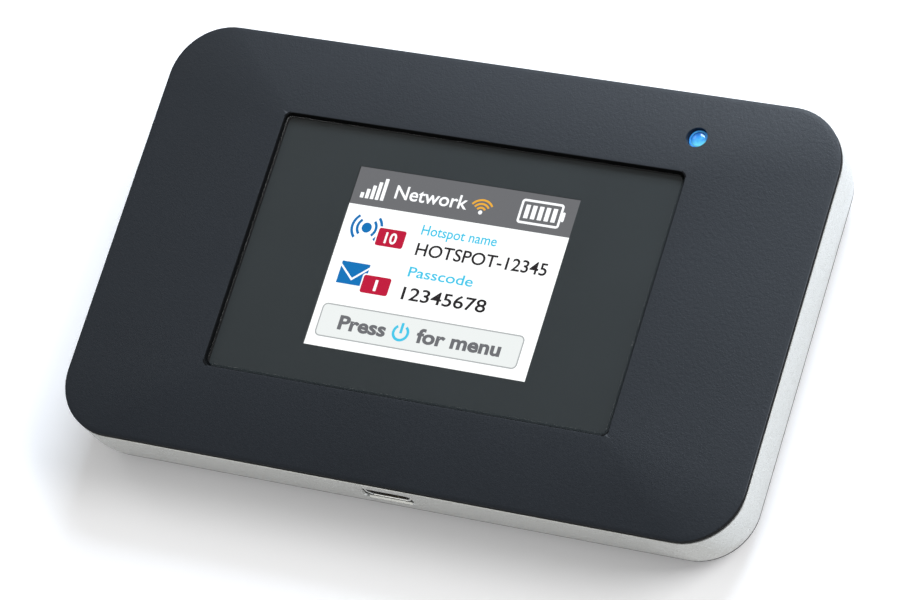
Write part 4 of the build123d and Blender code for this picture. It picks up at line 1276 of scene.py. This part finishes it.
@dataclass
class Socket:
    """The micro-B socket: a folded shell with a rolled mouth, and its tongue."""

    skin: float = 0.25 * MM
    narrow: float = 0.8 * MM
    shoulder: float = 0.35 * MM
    bend: float = 0.35 * MM
    roll: float = 0.08 * MM
    tongue_half_w: float = 1.85 * MM
    tongue_t: float = 0.6 * MM
    tongue_r: float = 0.1 * MM
    base_d: float = 1.2 * MM

    def outline(self, shrink: float) -> list[tuple[float, float]]:
        """The shell's section, square above and drawn in below, with bent corners.

        Args:
            shrink: how far it is pulled in.

        Returns:
            (x, z) pairs about the section's middle.
        """
        low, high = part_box("usb_shell")
        half_w, half_h = (high.x - low.x) / 2 - shrink, (high.z - low.z) / 2 - shrink
        knee = shrink * 0.1 - self.shoulder
        corners = [(half_w, half_h), (-half_w, half_h), (-half_w, knee), (-half_w + self.narrow, -half_h),
                   (half_w - self.narrow, -half_h), (half_w, knee)]
        radius = max(self.bend - shrink, 0.08 * MM)
        ring: list[tuple[float, float]] = []
        for index, corner in enumerate(corners):
            here = Vector(corner)
            before = (Vector(corners[index - 1]) - here).normalized()
            after = (Vector(corners[(index + 1) % len(corners)]) - here).normalized()
            start, end = here + before * radius, here + after * radius
            for step in range(7):
                share = step / 6
                point = start.lerp(here, share).lerp(here.lerp(end, share), share)
                ring.append((point.x, point.y))
        return ring

    def build(self) -> None:
        """Makes the shell and the tongue."""
        low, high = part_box("usb_shell")
        middle_z = (low.z + high.z) / 2
        sections = [(high.y, 0.0), (low.y + self.roll, 0.0), (low.y + 0.3 * self.roll, 0.3 * self.roll),
                    (low.y, self.roll), (low.y, self.skin - self.roll), (low.y + self.roll, self.skin),
                    (high.y, self.skin)]
        maker = MeshMaker()
        rings = [[(x, y, middle_z + z) for x, z in self.outline(shrink)] for y, shrink in sections]
        maker.skin(rings, closed=True)
        carry(maker.piece("socket_shell", TIN), HOUSING, "tinned_steel", "usb_shell")
        tongue_low, tongue_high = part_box("usb_tongue")
        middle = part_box("usb_contacts")[1].z + self.tongue_t / 2
        back = high.y - self.base_d
        plug = MeshMaker()
        inner = self.outline(self.skin)
        plug.skin([[(x, y, middle_z + z) for x, z in inner] for y in (back, tongue_high.y)])
        blade = []
        for y, cut in ((tongue_low.y, 0.12 * MM), (tongue_low.y + 0.15 * MM, 0.0), (back + 0.05 * MM, 0.0)):
            outline = flat_outline(self.tongue_half_w - cut, self.tongue_t / 2 - cut * 0.6, self.tongue_r, 4)
            blade.append([(u, y, middle + v) for u, v in outline])
        plug.skin(blade)
        carry(plug.piece("socket_tongue", CHIP), HOUSING, "chip_black", "usb_tongue")


@dataclass
class PowerButton:
    """The silver pill in the top edge: dished face, soft edge and retaining flange."""

    flange_t: float = 0.6 * MM
    flange_r: float = 0.2 * MM
    half_w: float = 6.0 * MM
    half_h: float = 1.5 * MM
    edge: float = 0.3 * MM
    dish: float = 0.12 * MM

    def build(self) -> None:
        """Makes the cap."""
        low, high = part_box("power_button")
        middle = (low.z + high.z) / 2
        flange_y = low.y + self.flange_t
        flange = flat_outline(high.x, (high.z - low.z) / 2, self.flange_r)
        maker = MeshMaker()
        maker.skin([[(u, y, middle + v) for u, v in flange] for y in (low.y, flange_y)])
        cap = [(flange_y - 10 * HAIR, 0.0), (high.y - self.edge, 0.0)]
        for step in range(1, 6):
            angle = math.radians(18 * step)
            cap.append((high.y - self.edge * (1 - math.sin(angle)), self.edge * (1 - math.cos(angle))))
        cap += [(high.y - self.dish * 0.5, self.edge + 0.35 * MM), (high.y - self.dish, self.edge + 0.8 * MM)]
        rings = []
        for y, cut in cap:
            tall = self.half_h - cut
            pill = flat_outline(self.half_w - cut, tall, tall - 5 * HAIR)
            rings.append([(u, y, middle + v) for u, v in pill])
        maker.skin(rings)
        carry(maker.piece("power_cap", SILVER), "power_button", "silver_satin", "power_button")


@dataclass
class CaseScrews:
    """Eight small pan-head screws with hexagon recesses."""

    head_r: float = 1.4 * MM
    shank_r: float = 0.75 * MM
    drive_r: float = 0.6 * MM
    drive_depth: float = 0.4 * MM
    head_h: float = 0.8 * MM
    rim_h: float = 0.3 * MM
    tip: float = 0.3 * MM
    threads: int = 14
    sides: int = 36
    middle_x: float = 15.0 * MM

    def profile(self, low_z: float, high_z: float) -> list[tuple[float, float]]:
        """The section from the tip down to the head's domed rim.

        Args:
            low_z: the head's outer face.
            high_z: the tip's end.

        Returns:
            (radius, height) pairs.
        """
        under, start = low_z + self.head_h, high_z - self.tip
        pairs = [(0.02 * MM, high_z), (self.shank_r * 0.8, high_z), (self.shank_r, high_z - 0.25 * MM)]
        for turn in range(self.threads + 1):
            z = start - (start - under - 0.1 * MM) * turn / self.threads
            pairs.append((self.shank_r if turn % 2 else self.shank_r * 0.86, z))
        rim = under - self.rim_h
        pairs += [(self.shank_r, under), (self.head_r, under), (self.head_r, rim)]
        for step in range(1, 5):
            angle = math.radians(15 * step)
            drop = (self.head_h - self.rim_h) * math.sin(angle) / math.sin(math.radians(60))
            pairs.append((self.head_r * (1 - 0.35 * (1 - math.cos(angle))), rim - drop))
        return pairs

    def recess(self, x: float, y: float, z: float) -> list[Point]:
        """One ring of the hexagonal recess, centred on x and y at height z."""
        ring: list[Point] = []
        for step in range(self.sides):
            angle = 2 * math.pi * step / self.sides
            wedge = (angle % (math.pi / 3)) - math.pi / 6
            reach = self.drive_r * math.cos(math.pi / 6) / math.cos(wedge)
            ring.append((x + reach * math.cos(angle), y + reach * math.sin(angle), z))
        return ring

    def build(self) -> None:
        """Makes all the screws as one piece of separate solids."""
        low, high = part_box("case_screws")
        reach_x, reach_y = high.x - self.head_r, high.y - self.head_r
        profile = self.profile(low.z, high.z)
        maker = MeshMaker()
        for x in (-reach_x, -self.middle_x, self.middle_x, reach_x):
            for y in (-reach_y, reach_y):
                rings = turned((x, y, 0.0), profile, self.sides)
                rings += [self.recess(x, y, z) for z in (low.z, low.z + self.drive_depth)]
                maker.skin(rings)
        carry(maker.piece("pan_screws", TIN), HOUSING, "tinned_steel", "case_screws")


@dataclass
class CarriedNodes:
    """The CAD pieces that show as they are, each with its own finish."""

    def build(self) -> None:
        """Gives every carried-over node its material."""
        for finish, names in CARRIED_OVER.items():
            for name in names:
                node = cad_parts[name]
                node.data.materials.clear()
                node.data.materials.append(finish.material())
                LOG.info("dressed %s in %s", name, finish.name)


@dataclass
class Studio:
    """Pale floor, soft lights and the camera."""

    floor_half: float = 3.0
    floor_t: float = 0.02
    focal: float = 180.84
    sensor: float = 36.0
    distance: float = 0.65354
    azimuth: float = 53.77
    elevation: float = 59.57
    roll: float = 40.11
    aim: Point = (3.2 * MM, -4.35 * MM, 14.5 * MM)

    def floor(self) -> None:
        """Lays the floor, slightly uneven in tone."""
        maker = MeshMaker()
        half = self.floor_half
        corners = [(-half, -half), (half, -half), (half, half), (-half, half)]
        maker.skin([[(x, y, z) for x, y in corners] for z in (-self.floor_t, 0.0)])
        paper = GlowingPaper("floor_paper", srgb(244, 244, 245), 0.9, 4 * MM, 0.0, 0.004, specular=0.0)
        maker.piece("floor", paper)

    def lamp(self, name: str, place: Point, size: tuple[float, float], power: float, colour: Colour,
             mirrored: bool = True) -> bpy.types.Object:
        """Hangs a soft box that faces the object.

        Args:
            name: the lamp's name.
            place: where it hangs.
            size: its width and height.
            power: its power in watts.
            colour: the colour of its light.
            mirrored: whether glossy surfaces show it.

        Returns:
            The lamp.
        """
        data = bpy.data.lights.new(name, "AREA")
        data.shape = "RECTANGLE"
        data.size, data.size_y = size
        data.energy = power
        data.color = colour
        lamp = bpy.data.objects.new(name, data)
        lamp.location = place
        lamp.visible_glossy = mirrored
        lamp.rotation_euler = (-Vector(place)).to_track_quat("-Z", "Y").to_euler()
        bpy.context.scene.collection.objects.link(lamp)
        return lamp

    def shade(self, lamp: bpy.types.Object, name: str) -> None:
        """Keeps one lamp, and its mirror image, off one piece.

        Args:
            lamp: the lamp.
            name: the piece's name.
        """
        shaded = bpy.data.collections.new("off_" + lamp.name)
        shaded.objects.link(bpy.data.objects[name])
        lamp.light_linking.receiver_collection = shaded
        shaded.collection_objects[0].light_linking.link_state = "EXCLUDE"

    def lights(self) -> None:
        """Sets the soft lights and the even surroundings."""
        far = self.lamp("far_softbox", (0.06, 0.40, 0.32), (0.30, 0.25), 3.3, (0.79, 0.88, 1.0))
        self.shade(far, "window_pane")
        self.lamp("pane_softbox", (-0.74, 0.52, 0.84), (0.34, 0.34), 0.5, (0.98, 1.0, 1.0))
        self.lamp("key", (0.95, 0.38, 0.85), (0.6, 0.6), 10.5, (1.0, 1.0, 1.0), False)
        self.lamp("overhead", (0.0, -0.1, 1.3), (1.6, 1.6), 4.2, (1.0, 0.985, 0.96), False)
        self.lamp("front_strip", (-0.33, -0.69, 0.24), (0.30, 0.30), 0.50, (1.0, 0.99, 0.95))
        self.lamp("right_strip", (0.69, 0.14, 0.33), (0.25, 0.25), 0.55, (0.96, 0.98, 1.0))
        world = bpy.data.worlds.new("surroundings")
        world.use_nodes = True
        world.node_tree.nodes["Background"].inputs["Color"].default_value = (1.0, 1.0, 1.0, 1.0)
        world.node_tree.nodes["Background"].inputs["Strength"].default_value = 0.15
        bpy.context.scene.world = world
        bpy.context.scene.view_settings.view_transform = "Standard"

    def camera(self) -> None:
        """Places the camera."""
        data = bpy.data.cameras.new("camera")
        data.lens = self.focal
        data.sensor_width = self.sensor
        data.clip_start = 0.01
        camera = bpy.data.objects.new("camera", data)
        azimuth, elevation = math.radians(self.azimuth), math.radians(self.elevation)
        back = Vector((math.sin(azimuth) * math.cos(elevation), -math.cos(azimuth) * math.cos(elevation),
                       math.sin(elevation)))
        camera.location = Vector(self.aim) + back * self.distance
        turn = back.to_track_quat("Z", "Y").to_matrix() @ Matrix.Rotation(math.radians(-self.roll), 3, "Z")
        camera.rotation_euler = turn.to_euler()
        bpy.context.scene.collection.objects.link(camera)
        bpy.context.scene.camera = camera

    def build(self) -> None:
        """Sets the whole studio."""
        self.floor()
        self.lights()
        self.camera()


def main() -> None:
    """Builds the hotspot piece by piece."""
    logging.basicConfig(level=logging.INFO, format="%(name)s: %(message)s")
    shape = BodyShape()
    parts = (CarriedNodes(), BackCover(shape), SideBand(shape), FrontCover(shape), Window(), Picture(),
             StatusLight(), Socket(), PowerButton(), CaseScrews(), Studio())
    for part in parts:
        part.build()
        LOG.info("built %s", type(part).__name__)


if __name__ == "__main__":
    main()
